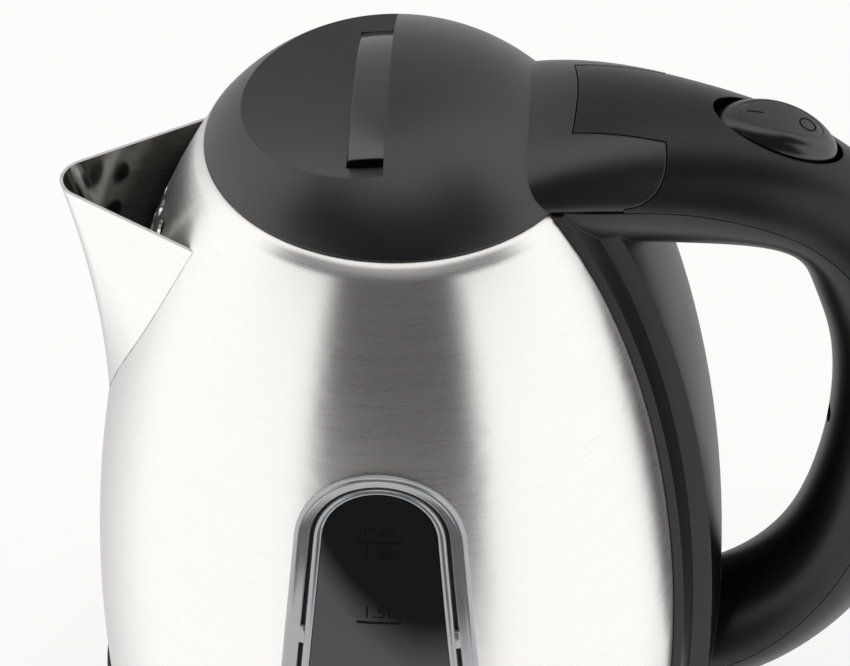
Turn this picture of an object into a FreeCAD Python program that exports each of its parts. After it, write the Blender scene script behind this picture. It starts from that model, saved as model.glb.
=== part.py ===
import FreeCAD, Part
import math
import os
import Sketcher

# Cordless electric kettle on its power base, in millimetres.
# Frame: the vessel's axis is Z and the base stands on z = 0.
# The handle points towards +X, the spout towards -X and the window towards -Y.

V = FreeCAD.Vector
doc = FreeCAD.newDocument("electric_kettle")

DRIVING_SIZES = [
    # Power base
    ("foot_height", 2.0, "rubber foot ring, height"),
    ("foot_width", 7.0, "rubber foot ring, width"),
    ("foot_inset", 12.0, "rubber foot ring, in from the base's edge"),
    ("base_inset", 0.4, "power base, in from the kettle's bottom ring"),
    ("base_height", 19.5, "power base, top above the table"),
    ("base_wall", 2.2, "power base, wall"),
    ("base_round", 5.0, "power base, top edge rounding"),
    ("base_plate", 2.0, "base bottom plate, thickness"),
    ("base_screw_inset", 36.0, "base screws, in from the base's edge"),
    ("screw_radius", 1.5, "screws, shaft radius"),
    ("screw_head", 3.0, "screws, head radius"),
    ("screw_head_height", 1.2, "screws, head height"),
    ("boss_radius", 4.0, "screw bosses, radius"),
    ("press_gap", 0.05, "gap of pieces pressed or screwed together"),
    ("run_gap", 0.3, "gap between pieces that move past each other"),
    ("pole_flat", 0.5, "small flats at the poles of the oval forms, radius"),
    ("pivot_gap", 0.05, "radial gap of a pin that turns in its hole"),
    ("stub_radius", 16.0, "swivel connector, radius"),
    ("stub_rise", 13.5, "swivel connector, height above the base"),
    ("stub_flange", 22.0, "swivel connector, flange radius"),
    ("stub_flange_height", 2.7, "swivel connector, flange thickness"),
    ("contact_pin", 2.0, "centre contact pin, radius"),
    ("contact_pin_hole", 3.3, "hole round the centre contact pin, radius"),
    ("contact_sleeve", 9.6, "outer contact sleeve, inner radius"),
    ("contact_groove_in", 7.4, "groove of the outer contact, inner radius"),
    ("contact_groove_out", 11.4, "groove of the outer contact, outer radius"),
    ("contact_thick", 0.8, "contact sheet, thickness"),
    ("contact_floor", 12.0, "floor of the contact wells, above the table"),
    ("gland_radius", 5.0, "cord gland, body radius"),
    ("gland_bore", 3.4, "cord gland, bore radius"),
    ("gland_lip", 1.6, "cord gland, lip beyond the body"),
    ("gland_length", 13.0, "cord gland, length"),
    ("gland_height", 10.5, "cord gland, axis above the table"),
    # Vessel
    ("kettle_gap", 0.3, "gap between the base's top and the kettle"),
    ("ring_height", 14.0, "bottom ring, height that shows"),
    ("ring_proud", 1.3, "bottom ring, beyond the steel"),
    ("ring_wall", 2.5, "bottom ring, wall"),
    ("steel_height", 171.8, "steel vessel, height"),
    ("steel_wall", 0.7, "steel vessel, sheet thickness"),
    ("body_radius", 78.0, "steel vessel, widest radius"),
    ("body_half", 178.0, "steel vessel, half height of the whole oval"),
    ("belly_height", 27.2, "steel vessel, widest point above its lower edge"),
    ("floor_rise", 5.7, "heater plate, above the steel's lower edge"),
    ("floor_thick", 1.0, "heater plate, thickness"),
    ("floor_flange", 4.0, "heater plate, upturned flange height"),
    ("spreader_inset", 4.0, "heat spreader, in from the bosses of the bottom screws"),
    ("spreader_thick", 3.5, "heat spreader, thickness"),
    ("element_circle", 47.0, "heating element, ring radius"),
    ("element_tube", 3.5, "heating element, tube radius"),
    ("element_turn", 300.0, "heating element, angle of the ring"),
    ("terminal_radius", 1.6, "element terminals, radius"),
    ("terminal_length", 4.0, "element terminals, length"),
    ("socket_wall", 6.5, "kettle socket, wall round the connector"),
    ("socket_roof", 1.2, "kettle socket, roof"),
    ("control_length", 17.0, "thermostat block, length"),
    ("control_width", 34.0, "thermostat block, width"),
    ("disc_radius", 6.5, "bimetal discs, radius"),
    ("disc_thick", 0.6, "bimetal discs, thickness"),
    ("disc_space", 16.0, "bimetal discs, centre to centre"),
    ("bottom_screw_inset", 6.1, "bottom screws, in from the bottom ring's wall"),
    # Window
    ("window_low", 54.2, "window, centre of the lower arc above the steel's edge"),
    ("window_high", 103.8, "window, centre of the upper arc above the steel's edge"),
    ("window_low_radius", 25.0, "window frame, lower arc"),
    ("window_high_radius", 20.5, "window frame, upper arc"),
    ("window_rim", 6.8, "window frame, width of the rim at its sides"),
    ("pane_rise", 2.2, "window pane, upper arc raised into the frame's top"),
    ("window_lap", 2.6, "window frame, lap over the steel"),
    ("window_proud", 1.4, "window frame, height above the steel"),
    ("window_depth", 1.6, "window frame, depth below the steel's outside"),
    ("window_sunk", 0.6, "window pane, below the frame's rim"),
    ("gasket_thick", 0.9, "window gasket, thickness"),
    ("clamp_thick", 1.5, "window clamp, thickness"),
    ("clamp_width", 1.5, "window clamp, beyond the frame"),
    # Spout
    ("spout_tip", 35.6, "spout tip, beyond the lid's rim"),
    ("spout_drop", 14.6, "spout lip, below the vessel's rim"),
    ("spout_low", 91.0, "spout's lower end, above the steel's edge"),
    ("spout_wall", 0.8, "spout, sheet thickness"),
    ("spout_nose", 8.0, "spout nose radius at the lip"),
    ("spout_nose_low", 20.0, "spout nose radius at the lower end"),
    ("spout_spread", 32.5, "spout half angle at the lip, degrees"),
    ("spout_spread_low", 72.0, "spout half angle at the lower end, degrees"),
    ("spout_half", 29.5, "spout, half width inside the vessel's wall"),
    ("spout_hollow", 2.2, "inward sweep of the spout's keel"),
    ("strainer_hole", 2.4, "strainer holes, radius"),
    ("strainer_pitch", 8.0, "strainer holes, spacing"),
    # Mouth and lid
    ("mouth_lip", 2.7, "mouth ring, reach inwards from the rim"),
    ("mouth_thick", 2.0, "mouth ring, thickness"),
    ("mouth_drop", 0.2, "mouth ring, below the rim"),
    ("lid_gap", 0.4, "seam between the steel and the lid"),
    ("dome_height", 23.4, "lid dome, height"),
    ("lid_wall", 2.2, "lid dome, wall"),
    ("scoop_radius", 120.0, "finger scoop, radius of the dish"),
    ("scoop_offset", 17.0, "finger scoop, deepest point from the axis"),
    ("scoop_height", 8.4, "finger scoop, lowest point above the seam"),
    ("scoop_floor", 2.0, "finger scoop, wall under the dish"),
    ("step_offset", 1.0, "dome's front edge, from the axis"),
    ("bar_width", 8.1, "lid release bar, width that shows"),
    ("bar_half", 24.6, "lid release bar, half length"),
    ("bar_drop", 3.8, "lid release bar, below the dome's surface"),
    ("bar_tuck", 13.0, "lid release bar, length under the dome"),
    ("bar_wall", 1.6, "lid release bar, wall"),
    ("bar_slot_half", 26.4, "slot in the finger scoop, half length"),
    ("bar_travel", 4.0, "lid release bar, travel"),
    ("bolt_width", 8.0, "latch bolt, width"),
    ("bolt_thick", 2.5, "latch bolt, thickness"),
    ("bolt_short", 1.0, "latch bolt, tip short of the mouth ring's lip"),
    ("bolt_leg", 4.0, "latch bolt, leg along its travel"),
    ("plate_thick", 1.0, "lid inner plate, thickness"),
    ("skirt_depth", 6.0, "lid inner plate, skirt depth"),
    ("skirt_gap", 0.3, "lid inner plate, skirt in from its edge"),
    ("skirt_wall", 1.7, "lid inner plate, skirt wall"),
    ("seal_thick", 1.1, "lid seal, thickness"),
    ("lid_screw_inset", 5.5, "lid screws, in from the inner plate's skirt"),
    ("lid_boss", 3.2, "lid screw bosses, radius"),
    ("lid_screw_length", 5.5, "lid screws, shaft length"),
    ("spring_radius", 2.4, "latch spring, outer radius"),
    ("spring_wall", 0.7, "latch spring, wire"),
    ("spring_length", 11.0, "latch spring, length"),
    ("spring_height", 9.0, "latch spring, axis above the seam"),
    # Hinge
    ("hinge_back", 8.9, "hinge axis, beyond the lid's rim"),
    ("hinge_rise", 9.5, "hinge axis, above the seam"),
    ("ear_radius", 9.3, "lid ears, end radius"),
    ("tongue_radius", 13.0, "handle tongue, nose radius"),
    ("tongue_half", 13.0, "handle tongue, half width"),
    ("tongue_tail", 9.0, "handle tongue, length past the ears"),
    ("pin_radius", 2.0, "hinge pin, radius"),
    ("pin_half", 15.5, "hinge pin, half length"),
    # Handle: parting line between its shells
    ("neck_back", 15.6, "handle's start, in from the lid's rim"),
    ("bar_run", 34.4, "level run of the top bar past the lid's rim"),
    ("grip_reach", 45.5, "grip's parting line, beyond the body's widest radius"),
    ("grip_rise", 67.0, "grip's furthest point, above the body's widest point"),
    ("shoulder_rise", 68.0, "pull of the curve above the grip"),
    ("heel_drop", 36.0, "pull of the curve below the grip"),
    ("heel_back", 15.5, "heel's pull, in from the grip"),
    ("heel_rise", 5.0, "heel's pull, above the foot"),
    ("foot_rise", 9.2, "handle's foot, above the steel's lower edge"),
    ("foot_sink", 4.0, "handle's foot, inside the body's widest radius"),
    # Handle: half widths and depths of its sections
    ("neck_half", 27.0, "neck inside the lid, half width"),
    ("neck_out", 12.5, "neck inside the lid, depth outwards"),
    ("neck_in", 21.0, "neck inside the lid, depth inwards"),
    ("tail_half", 25.0, "lid's tail, half width"),
    ("tail_out", 17.3, "lid's tail, depth outwards"),
    ("tail_in", 21.0, "lid's tail, depth inwards"),
    ("top_half", 20.5, "top bar, half width"),
    ("top_out", 17.0, "top bar, depth outwards"),
    ("top_in", 18.8, "top bar, depth inwards"),
    ("corner_half", 16.2, "corner, half width"),
    ("corner_out", 17.0, "corner, depth outwards"),
    ("corner_in", 10.5, "corner, depth inwards"),
    ("shoulder_half", 15.5, "shoulder, half width"),
    ("shoulder_out", 15.8, "shoulder, depth outwards"),
    ("shoulder_in", 14.2, "shoulder, depth inwards"),
    ("grip_half", 15.0, "grip, half width"),
    ("grip_out", 14.5, "grip, depth outwards"),
    ("grip_in", 14.8, "grip, depth inwards"),
    ("heel_half", 15.5, "heel, half width"),
    ("heel_out", 14.0, "heel, depth outwards"),
    ("heel_in", 15.0, "heel, depth inwards"),
    ("foot_half", 17.0, "foot, half width"),
    ("foot_out", 11.0, "foot, depth outwards"),
    ("foot_in", 20.0, "foot, depth inwards"),
    ("handle_wall", 2.5, "handle shells, wall"),
    ("parting_gap", 0.2, "seam between the handle's shells"),
    ("band_gap", 0.1, "seam between the handle's band and the steel"),
    ("band_height", 6.7, "band, crest above the steel"),
    ("band_half", 21.5, "band, half width of the crest"),
    ("flange_height", 2.2, "band flange, thickness"),
    ("flange_half_top", 26.5, "band flange, half width at the rim"),
    ("flange_half_low", 30.5, "band flange, half width at the foot"),
    # Switch in the handle
    ("rocker_half_length", 16.0, "rocker, half length"),
    ("rocker_half_width", 8.3, "rocker, half width"),
    ("rocker_proud", 2.4, "rocker, crown above the handle"),
    ("rocker_depth", 9.0, "rocker, depth below the handle's surface"),
    ("rocker_crown", 44.0, "rocker, radius of its crown"),
    ("rocker_tilt", 7.0, "rocker, tilt at rest, degrees"),
    ("rocker_pivot", 5.0, "rocker pivot, below the handle's surface"),
    ("rocker_end_gap", 1.0, "gap at the rocker's ends"),
    ("rocker_side_gap", 0.5, "gap at the rocker's sides"),
    ("rocker_pin", 1.2, "rocker pin, radius"),
    ("rocker_pin_half", 6.5, "rocker pin, half length"),
    ("post_half_length", 2.5, "switch post, half length"),
    ("post_half_width", 3.0, "switch post, half width"),
    ("housing_half_length", 9.5, "switch housing, half length"),
    ("housing_half_width", 9.0, "switch housing, half width"),
    ("housing_top", 12.5, "switch housing, top below the handle's surface"),
    ("housing_height", 11.5, "switch housing, height"),
    ("lever_gap", 2.0, "trip lever, behind the housing"),
    ("lever_thick", 2.4, "trip lever, thickness"),
    ("lever_half", 4.0, "trip lever, half width"),
    ("lever_length", 10.5, "trip lever, length"),
    ("lever_pin", 1.0, "trip lever trunnions, radius"),
    ("lever_pin_half", 7.6, "trip lever trunnions, half length"),
    ("arm_thick", 2.6, "lever arms on the housing, thickness"),
    ("steam_disc", 6.0, "steam bimetal, radius"),
    ("steam_disc_thick", 0.5, "steam bimetal, thickness"),
    ("tube_radius", 3.0, "steam tube, outer radius"),
    ("tube_wall", 0.9, "steam tube, wall"),
    ("tube_drop", 7.0, "steam tube, below the seam"),
    ("tube_length", 21.0, "steam tube, length"),
]

SCREW_COUNT = 3

sheet = doc.addObject("Spreadsheet::Sheet", "dims")
for row, (alias, number, words) in enumerate(DRIVING_SIZES, start=1):
    sheet.set(f"A{row}", words)
    sheet.set(f"B{row}", str(number))
    sheet.setAlias(f"B{row}", alias)
doc.recompute()


# Sizes that carry their sheet formula

class Size:
    """A number kept together with the sheet formula that it comes from."""

    def __init__(self, value, formula):
        self.value = float(value)
        self.formula = formula

    def __add__(self, other):
        other = as_size(other)
        return Size(self.value + other.value, f"({self.formula} + {other.formula})")

    def __sub__(self, other):
        other = as_size(other)
        return Size(self.value - other.value, f"({self.formula} - {other.formula})")

    def __mul__(self, other):
        other = as_size(other)
        return Size(self.value * other.value, f"({self.formula} * {other.formula})")

    def __truediv__(self, other):
        other = as_size(other)
        return Size(self.value / other.value, f"({self.formula} / {other.formula})")

    def __neg__(self):
        return Size(-self.value, f"(0 - {self.formula})")

    def __rsub__(self, other):
        return as_size(other) - self

    __radd__ = __add__
    __rmul__ = __mul__


def as_size(number):
    return number if isinstance(number, Size) else Size(number, f"({number})")


def dim(alias):
    return Size(sheet.get(alias), f"dims.{alias}")


def root(size):
    return Size(math.sqrt(size.value), f"sqrt({size.formula})")


def bind(thing, **sizes):
    """Tie properties of a document object to sheet formulas."""
    for name, size in sizes.items():
        thing.setExpression(name, as_size(size).formula)


def bind_place(thing, x=0, y=0, z=0, field="Placement"):
    for letter, size in zip("xyz", (x, y, z)):
        thing.setExpression(f"{field}.Base.{letter}", as_size(size).formula)


# Bodies, sketches and primitives

def new_sketch(label, role, offset=0):
    """A body with one sketch on an origin plane, moved along the plane's normal by offset."""
    body = doc.addObject("PartDesign::Body", label)
    sketch = body.newObject("Sketcher::SketchObject", label + "_sketch")
    plane = [feature for feature in body.Origin.OriginFeatures if feature.Role == role][0]
    sketch.AttachmentSupport = [(plane, "")]
    sketch.MapMode = "FlatFace"
    bind_place(sketch, z=offset, field="AttachmentOffset")
    return body, sketch


def hold(sketch, kind, *where, size):
    """Add a dimension to a sketch and tie it to the sheet."""
    size = as_size(size)
    index = sketch.addConstraint(Sketcher.Constraint(kind, *where, size.value))
    sketch.setExpression(f"Constraints[{index}]", size.formula)


def outline(sketch, corners):
    """A closed outline of straight lines, each corner tied to the sheet."""
    corners = [(as_size(u), as_size(v)) for u, v in corners]
    points = [V(u.value, v.value, 0) for u, v in corners]
    following = points[1:] + points[:1]
    lines = [sketch.addGeometry(Part.LineSegment(a, b)) for a, b in zip(points, following)]
    for line, after in zip(lines, lines[1:] + lines[:1]):
        sketch.addConstraint(Sketcher.Constraint("Coincident", line, 2, after, 1))
    for line, (u, v) in zip(lines, corners):
        hold(sketch, "DistanceX", -1, 1, line, 1, size=u)
        hold(sketch, "DistanceY", -1, 1, line, 1, size=v)


def turned(label, corners):
    """A piece turned about Z from an outline of (radius, height) corners."""
    body, sketch = new_sketch(label, "XZ_Plane")
    outline(sketch, corners)
    turn = body.newObject("PartDesign::Revolution", label + "_turn")
    turn.Profile = sketch
    turn.ReferenceAxis = (sketch, ["V_Axis"])
    turn.Angle = 360
    return body


def padded(label, role, corners, low, high):
    """An outline on an origin plane, padded from one offset to another along the plane's normal."""
    body, sketch = new_sketch(label, role, low)
    outline(sketch, corners)
    pad = body.newObject("PartDesign::Pad", label + "_pad")
    pad.Profile = sketch
    bind(pad, Length=as_size(high) - low)
    return body


SEAM_TURN = FreeCAD.Rotation(V(0, 0, 1), 75)


def oval(label, middle, radius, half):
    """A tall oval of revolution about Z: an ellipse of the given radius and half height."""
    body, sketch = new_sketch(label, "XZ_Plane")
    centre = V(0, middle.value, 0)
    top = centre + V(0, half.value, 0)
    left = centre - V(radius.value, 0, 0)
    ellipse = Part.Ellipse(top, left, centre)
    flat_end = dim("pole_flat")
    end_height = half.value * math.sqrt(1 - (flat_end.value / radius.value) ** 2)
    low_end = centre + V(flat_end.value, -end_height, 0)
    high_end = centre + V(flat_end.value, end_height, 0)
    span = [ellipse.parameter(end) for end in (low_end, high_end)]
    arc = sketch.addGeometry(Part.ArcOfEllipse(ellipse, *span))
    sketch.exposeInternalGeometry(arc)
    upright, level = arc + 1, arc + 2
    corners = [high_end, V(0, high_end.y, 0), V(0, low_end.y, 0), low_end]
    lines = [sketch.addGeometry(Part.LineSegment(a, b)) for a, b in zip(corners, corners[1:])]
    loop = [arc] + lines
    for piece, after in zip(loop, loop[1:] + loop[:1]):
        sketch.addConstraint(Sketcher.Constraint("Coincident", piece, 2, after, 1))
    sketch.addConstraint(Sketcher.Constraint("Horizontal", lines[0]))
    sketch.addConstraint(Sketcher.Constraint("Horizontal", lines[2]))
    sketch.addConstraint(Sketcher.Constraint("PointOnObject", lines[1], 1, -2))
    sketch.addConstraint(Sketcher.Constraint("PointOnObject", lines[1], 2, -2))
    sketch.addConstraint(Sketcher.Constraint("PointOnObject", arc, 3, -2))
    sketch.addConstraint(Sketcher.Constraint("Vertical", upright))
    hold(sketch, "DistanceX", -1, 1, arc, 1, size=flat_end)
    hold(sketch, "DistanceX", -1, 1, arc, 2, size=flat_end)
    hold(sketch, "DistanceY", -1, 1, arc, 3, size=middle)
    hold(sketch, "Distance", upright, size=half * 2)
    hold(sketch, "Distance", level, size=radius * 2)
    turn = body.newObject("PartDesign::Revolution", label + "_turn")
    turn.Profile = sketch
    turn.ReferenceAxis = (sketch, ["V_Axis"])
    turn.Angle = 360
    body.Placement = FreeCAD.Placement(V(), SEAM_TURN)
    return body


def block(label, x, y, z):
    """A box given as (low, high) along each axis."""
    made = doc.addObject("Part::Box", label)
    bind(made, Length=as_size(x[1]) - x[0], Width=as_size(y[1]) - y[0], Height=as_size(z[1]) - z[0])
    bind_place(made, x[0], y[0], z[0])
    return made


UPRIGHT = FreeCAD.Rotation()
ALONG_X = FreeCAD.Rotation(V(0, 1, 0), 90)
ALONG_Y = FreeCAD.Rotation(V(1, 0, 0), -90)


def rod(label, radius, length, x=0, y=0, z=0, turn=UPRIGHT):
    """A cylinder that starts at a point and runs along Z, or along X or Y when turned."""
    made = doc.addObject("Part::Cylinder", label)
    bind(made, Radius=radius, Height=length)
    made.Placement = FreeCAD.Placement(V(), turn)
    bind_place(made, x, y, z)
    return made


def ball(label, radius, x, z):
    """A sphere whose poles lie along Y."""
    made = doc.addObject("Part::Sphere", label)
    bind(made, Radius=radius)
    made.Placement = FreeCAD.Placement(V(), ALONG_Y)
    bind_place(made, x, 0, z)
    return made


def join(label, *pieces):
    made = doc.addObject("Part::MultiFuse", label)
    made.Shapes = list(pieces)
    return made


def common(label, base, tool):
    made = doc.addObject("Part::Common", label)
    made.Base = base
    made.Tool = tool
    return made


def cut(label, base, *tools):
    made = doc.addObject("Part::Cut", label)
    made.Base = base
    made.Tool = tools[0] if len(tools) == 1 else join(label + "_tools", *tools)
    return made


def tube(label, radius, bore, length, x=0, y=0, z=0, turn=UPRIGHT):
    outer = rod(label + "_outer", radius, length, x, y, z, turn)
    inner = rod(label + "_bore", bore, length, x, y, z, turn)
    return cut(label, outer, inner)


def round_rims(body, radius, wanted):
    """Fillet a body's circular edges whose (radius, height) pass the test."""
    doc.recompute()
    turn = body.Tip
    names = []
    for number, edge in enumerate(turn.Shape.Edges, start=1):
        if hasattr(edge.Curve, "Radius") and wanted(edge.Curve.Radius, edge.Curve.Center.z):
            names.append(f"Edge{number}")
    fillet = body.newObject("PartDesign::Fillet", body.Name + "_round")
    fillet.Base = (turn, names)
    bind(fillet, Radius=radius)
    return body


def ring_of(label, count, make, circle, start=0.0):
    """Copies of a piece spread evenly round the axis: make(name, x, y) for each place."""
    made = []
    for index in range(count):
        angle = start + 2 * math.pi * index / count
        x, y = circle * round(math.cos(angle), 9), circle * round(math.sin(angle), 9)
        made.append(make(f"{label}_{index}", x, y))
    return made


def group(label, pieces):
    made = doc.addObject("Part::Compound", label)
    made.Links = pieces
    return made


def screw(label, length, x, y, z):
    """A pan-head screw whose head hangs below z and whose shaft rises from it."""
    head_height = dim("screw_head_height")
    head = rod(label + "_head", dim("screw_head"), head_height, x, y, z - head_height)
    shaft = rod(label + "_shaft", dim("screw_radius"), length, x, y, z)
    return join(label, head, shaft)


nodes = {}


def node(name, piece):
    piece.Label = name
    nodes[name] = piece
    return piece


# Heights and radii that many pieces share

base_top = dim("base_height")
kettle_low = base_top + dim("kettle_gap")
steel_low = kettle_low + dim("ring_height")
rim_z = steel_low + dim("steel_height")
lid_z = rim_z + dim("lid_gap")
belly_z = steel_low + dim("belly_height")
press_gap = dim("press_gap")
run_gap = dim("run_gap")
pivot_gap = dim("pivot_gap")
steel_wall = dim("steel_wall")


def body_radius_at(z, offset=0):
    """Radius of the vessel's oval, grown by offset, at a height."""
    share = (z - belly_z) / (dim("body_half") + offset)
    return (dim("body_radius") + offset) * root(1 - share * share)


def vessel_form(label, offset):
    """The vessel's whole oval as a solid, grown by offset."""
    return oval(label, belly_z, dim("body_radius") + offset, dim("body_half") + offset)


lid_radius = body_radius_at(rim_z)
ring_radius = body_radius_at(steel_low) + dim("ring_proud")
base_radius = ring_radius - dim("base_inset")
far = dim("body_radius") * 3


# Power base

foot_z = dim("foot_height")
plate_top = foot_z + dim("base_plate")
base_inner = base_radius - dim("base_wall")
roof_low = base_top - dim("base_wall")
stub_bore = dim("stub_radius") + run_gap
flange_top = plate_top + run_gap + dim("stub_flange_height")
collar_low = flange_top + run_gap
collar_radius = stub_bore + dim("base_wall")

cover = turned("base_cover_shell", [
    (base_inner, foot_z),
    (base_radius, foot_z),
    (base_radius, base_top),
    (stub_bore, base_top),
    (stub_bore, collar_low),
    (collar_radius, collar_low),
    (collar_radius, roof_low),
    (base_inner, roof_low),
])
round_rims(cover, dim("base_round"), lambda r, z: r > base_inner.value + 0.1 and z > roof_low.value + 0.1)


def base_boss(label, x, y):
    return rod(label, dim("boss_radius"), roof_low - plate_top, x, y, plate_top)


def base_screw_hole(label, x, y):
    return rod(label, dim("screw_radius") + press_gap, roof_low - foot_z, x, y, foot_z)


SCREW_TURN = math.pi / 6
screw_circle = base_radius - dim("base_screw_inset")
bosses = ring_of("base_boss", SCREW_COUNT, base_boss, screw_circle, SCREW_TURN)
screw_holes = ring_of("base_screw_hole", SCREW_COUNT, base_screw_hole, screw_circle, SCREW_TURN)

gland_outside = base_radius + dim("gland_lip")
gland_hole = rod("gland_hole", dim("gland_radius") + press_gap, dim("base_wall") * 4,
                 0, base_radius - dim("base_wall") * 2, dim("gland_height"), ALONG_Y)
node("base_cover", cut("base_cover_cut", join("base_cover_body", cover, *bosses), gland_hole, *screw_holes))

bottom_disc = turned("base_bottom_disc", [
    (0, foot_z),
    (base_inner - press_gap, foot_z),
    (base_inner - press_gap, plate_top),
    (0, plate_top),
])
node("base_bottom_plate", cut("base_bottom_cut", bottom_disc, *screw_holes))


foot_outer = base_radius - dim("foot_inset")
node("base_foot_ring", tube("base_foot_ring", foot_outer, foot_outer - dim("foot_width"), dim("foot_height")))


def base_screw(label, x, y):
    return screw(label, roof_low - foot_z - dim("base_wall"), x, y, foot_z)


base_screws = ring_of("base_screw", SCREW_COUNT, base_screw, screw_circle, SCREW_TURN)
node("base_screws", group("base_screws", base_screws))

gland_body = rod("gland_body", dim("gland_radius"), dim("gland_length"),
                 0, gland_outside - dim("gland_length"), dim("gland_height"), ALONG_Y)
gland_rim = rod("gland_rim", dim("gland_radius") + dim("gland_lip"), dim("gland_lip"),
                0, base_radius, dim("gland_height"), ALONG_Y)
gland_bore = rod("gland_bore_tool", dim("gland_bore"), dim("gland_length"),
                 0, gland_outside - dim("gland_length"), dim("gland_height"), ALONG_Y)
gland_form = join("gland_form", gland_body, gland_rim)
node("cord_gland", cut("cord_gland_cut", gland_form, gland_bore, common("gland_wall", cover, gland_rim)))

# Swivel connector: the stub turns in the base and carries the live contacts

stub_top = base_top + dim("stub_rise")
well_floor = dim("contact_floor")
node("connector_stub", turned("connector_stub", [
    (dim("contact_pin_hole"), well_floor),
    (dim("contact_pin_hole"), stub_top),
    (dim("contact_groove_in"), stub_top),
    (dim("contact_groove_in"), well_floor),
    (dim("contact_groove_out"), well_floor),
    (dim("contact_groove_out"), stub_top),
    (dim("stub_radius"), stub_top),
    (dim("stub_radius"), flange_top),
    (dim("stub_flange"), flange_top),
    (dim("stub_flange"), plate_top + run_gap),
    (0, plate_top + run_gap),
    (0, well_floor),
]))

contact_height = stub_top - well_floor - dim("stub_rise") / 4
sleeve_inner = dim("contact_sleeve")
node("connector_contacts", group("connector_contacts", [
    rod("contact_pin_rod", dim("contact_pin"), contact_height, z=well_floor),
    tube("contact_sleeve_tube", sleeve_inner + dim("contact_thick"), sleeve_inner, contact_height,
         z=well_floor),
]))

# Bottom of the kettle: ring, socket and heater

ring_inner = ring_radius - dim("ring_wall") - dim("ring_proud")
lip_radius = body_radius_at(steel_low) - steel_wall - dim("ring_proud")
socket_bore = dim("stub_radius") + run_gap
socket_radius = socket_bore + dim("socket_wall")
ring_floor = kettle_low + dim("ring_wall")
floor_z = steel_low + dim("floor_rise")
floor_low = floor_z - dim("floor_thick")
spreader_low = floor_low - dim("spreader_thick")
bottom_ring = turned("bottom_ring_shell", [
    (socket_radius + press_gap, kettle_low),
    (ring_radius, kettle_low),
    (ring_radius, steel_low - press_gap),
    (lip_radius, steel_low - press_gap),
    (lip_radius, floor_low - press_gap),
    (ring_inner - dim("ring_wall"), floor_low - press_gap),
    (ring_inner - dim("ring_wall"), ring_floor),
    (socket_radius + press_gap, ring_floor),
])


def bottom_screw_hole(label, x, y):
    return rod(label, dim("screw_radius") + press_gap, floor_low - kettle_low, x, y, kettle_low)


def bottom_screw_recess(label, x, y):
    return rod(label, dim("screw_head") + press_gap, dim("screw_head_height"), x, y, kettle_low)


bottom_circle = ring_inner - dim("ring_wall") - dim("bottom_screw_inset")
bottom_holes = ring_of("bottom_hole", SCREW_COUNT, bottom_screw_hole, bottom_circle, SCREW_TURN)
bottom_recesses = ring_of("bottom_recess", SCREW_COUNT, bottom_screw_recess, bottom_circle, SCREW_TURN)
node("bottom_ring", cut("bottom_ring_cut", bottom_ring, *bottom_holes, *bottom_recesses))


def bottom_screw(label, x, y):
    head_top = kettle_low + dim("screw_head_height")
    return screw(label, floor_low - kettle_low - dim("ring_wall"), x, y, head_top)


node("bottom_screws", group("bottom_screws",
                            ring_of("bottom_screw", SCREW_COUNT, bottom_screw, bottom_circle, SCREW_TURN)))

flange_top_z = floor_z + dim("floor_flange")
plate_radius = body_radius_at(floor_low) - steel_wall - press_gap
heater_disc = turned("heater_disc", [
    (0, floor_low),
    (plate_radius, floor_low),
    (plate_radius, flange_top_z),
    (plate_radius - dim("floor_thick"), flange_top_z),
    (plate_radius - dim("floor_thick"), floor_z),
    (0, floor_z),
])


def heater_boss(label, x, y):
    return rod(label, dim("boss_radius"), floor_low - ring_floor, x, y, ring_floor)


heater_bosses = ring_of("heater_boss", SCREW_COUNT, heater_boss, bottom_circle, SCREW_TURN)
heater_form = join("heater_form", heater_disc, *heater_bosses)
node("heater_plate", cut("heater_plate_cut", heater_form, *bottom_holes))

spreader_radius = bottom_circle - dim("boss_radius") - dim("spreader_inset")
node("heat_spreader", turned("heat_spreader", [
    (0, spreader_low),
    (spreader_radius, spreader_low),
    (spreader_radius, floor_low),
    (0, floor_low),
]))

element = doc.addObject("Part::Torus", "heating_element")
bind(element, Radius1=dim("element_circle"), Radius2=dim("element_tube"), Angle3=dim("element_turn"))
element_z = spreader_low - dim("element_tube") - press_gap
bind_place(element, z=element_z)
GAP_TURN = FreeCAD.Rotation(V(0, 0, 1), (360 - dim("element_turn").value) / 2)
element.Placement = FreeCAD.Placement(element.Placement.Base, GAP_TURN)
node("heating_element", element)


def terminal(label, side):
    """A terminal pin under one end of the heating element."""
    angle = math.radians(GAP_TURN.Angle * 180 / math.pi) * side
    inset = dim("terminal_radius") / dim("element_circle")
    x = dim("element_circle") * (math.cos(angle) - inset.value * math.sin(abs(angle)))
    y = dim("element_circle") * (math.sin(angle) + side * inset.value * math.cos(angle))
    low = element_z - dim("element_tube") - dim("terminal_length") - press_gap
    return rod(label, dim("terminal_radius"), dim("terminal_length"), x, y, low)


terminals = [terminal("terminal_left", 1), terminal("terminal_right", -1)]
node("element_terminals", group("element_terminals", terminals))

socket_roof = stub_top + run_gap
socket_top = socket_roof + dim("socket_roof")
node("kettle_socket", turned("kettle_socket", [
    (socket_bore, kettle_low),
    (socket_radius, kettle_low),
    (socket_radius, socket_top),
    (0, socket_top),
    (0, socket_roof),
    (socket_bore, socket_roof),
]))

pin_clear = dim("contact_pin") + pivot_gap
blade_outer = sleeve_inner - pivot_gap
blade_low = well_floor + dim("stub_rise") / 2
blade_height = socket_roof - blade_low
node("socket_contacts", group("socket_contacts", [
    tube("socket_pin_tube", pin_clear + dim("contact_thick"), pin_clear, blade_height, z=blade_low),
    tube("socket_blade", blade_outer, blade_outer - dim("contact_thick"), blade_height, z=blade_low),
]))

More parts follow.
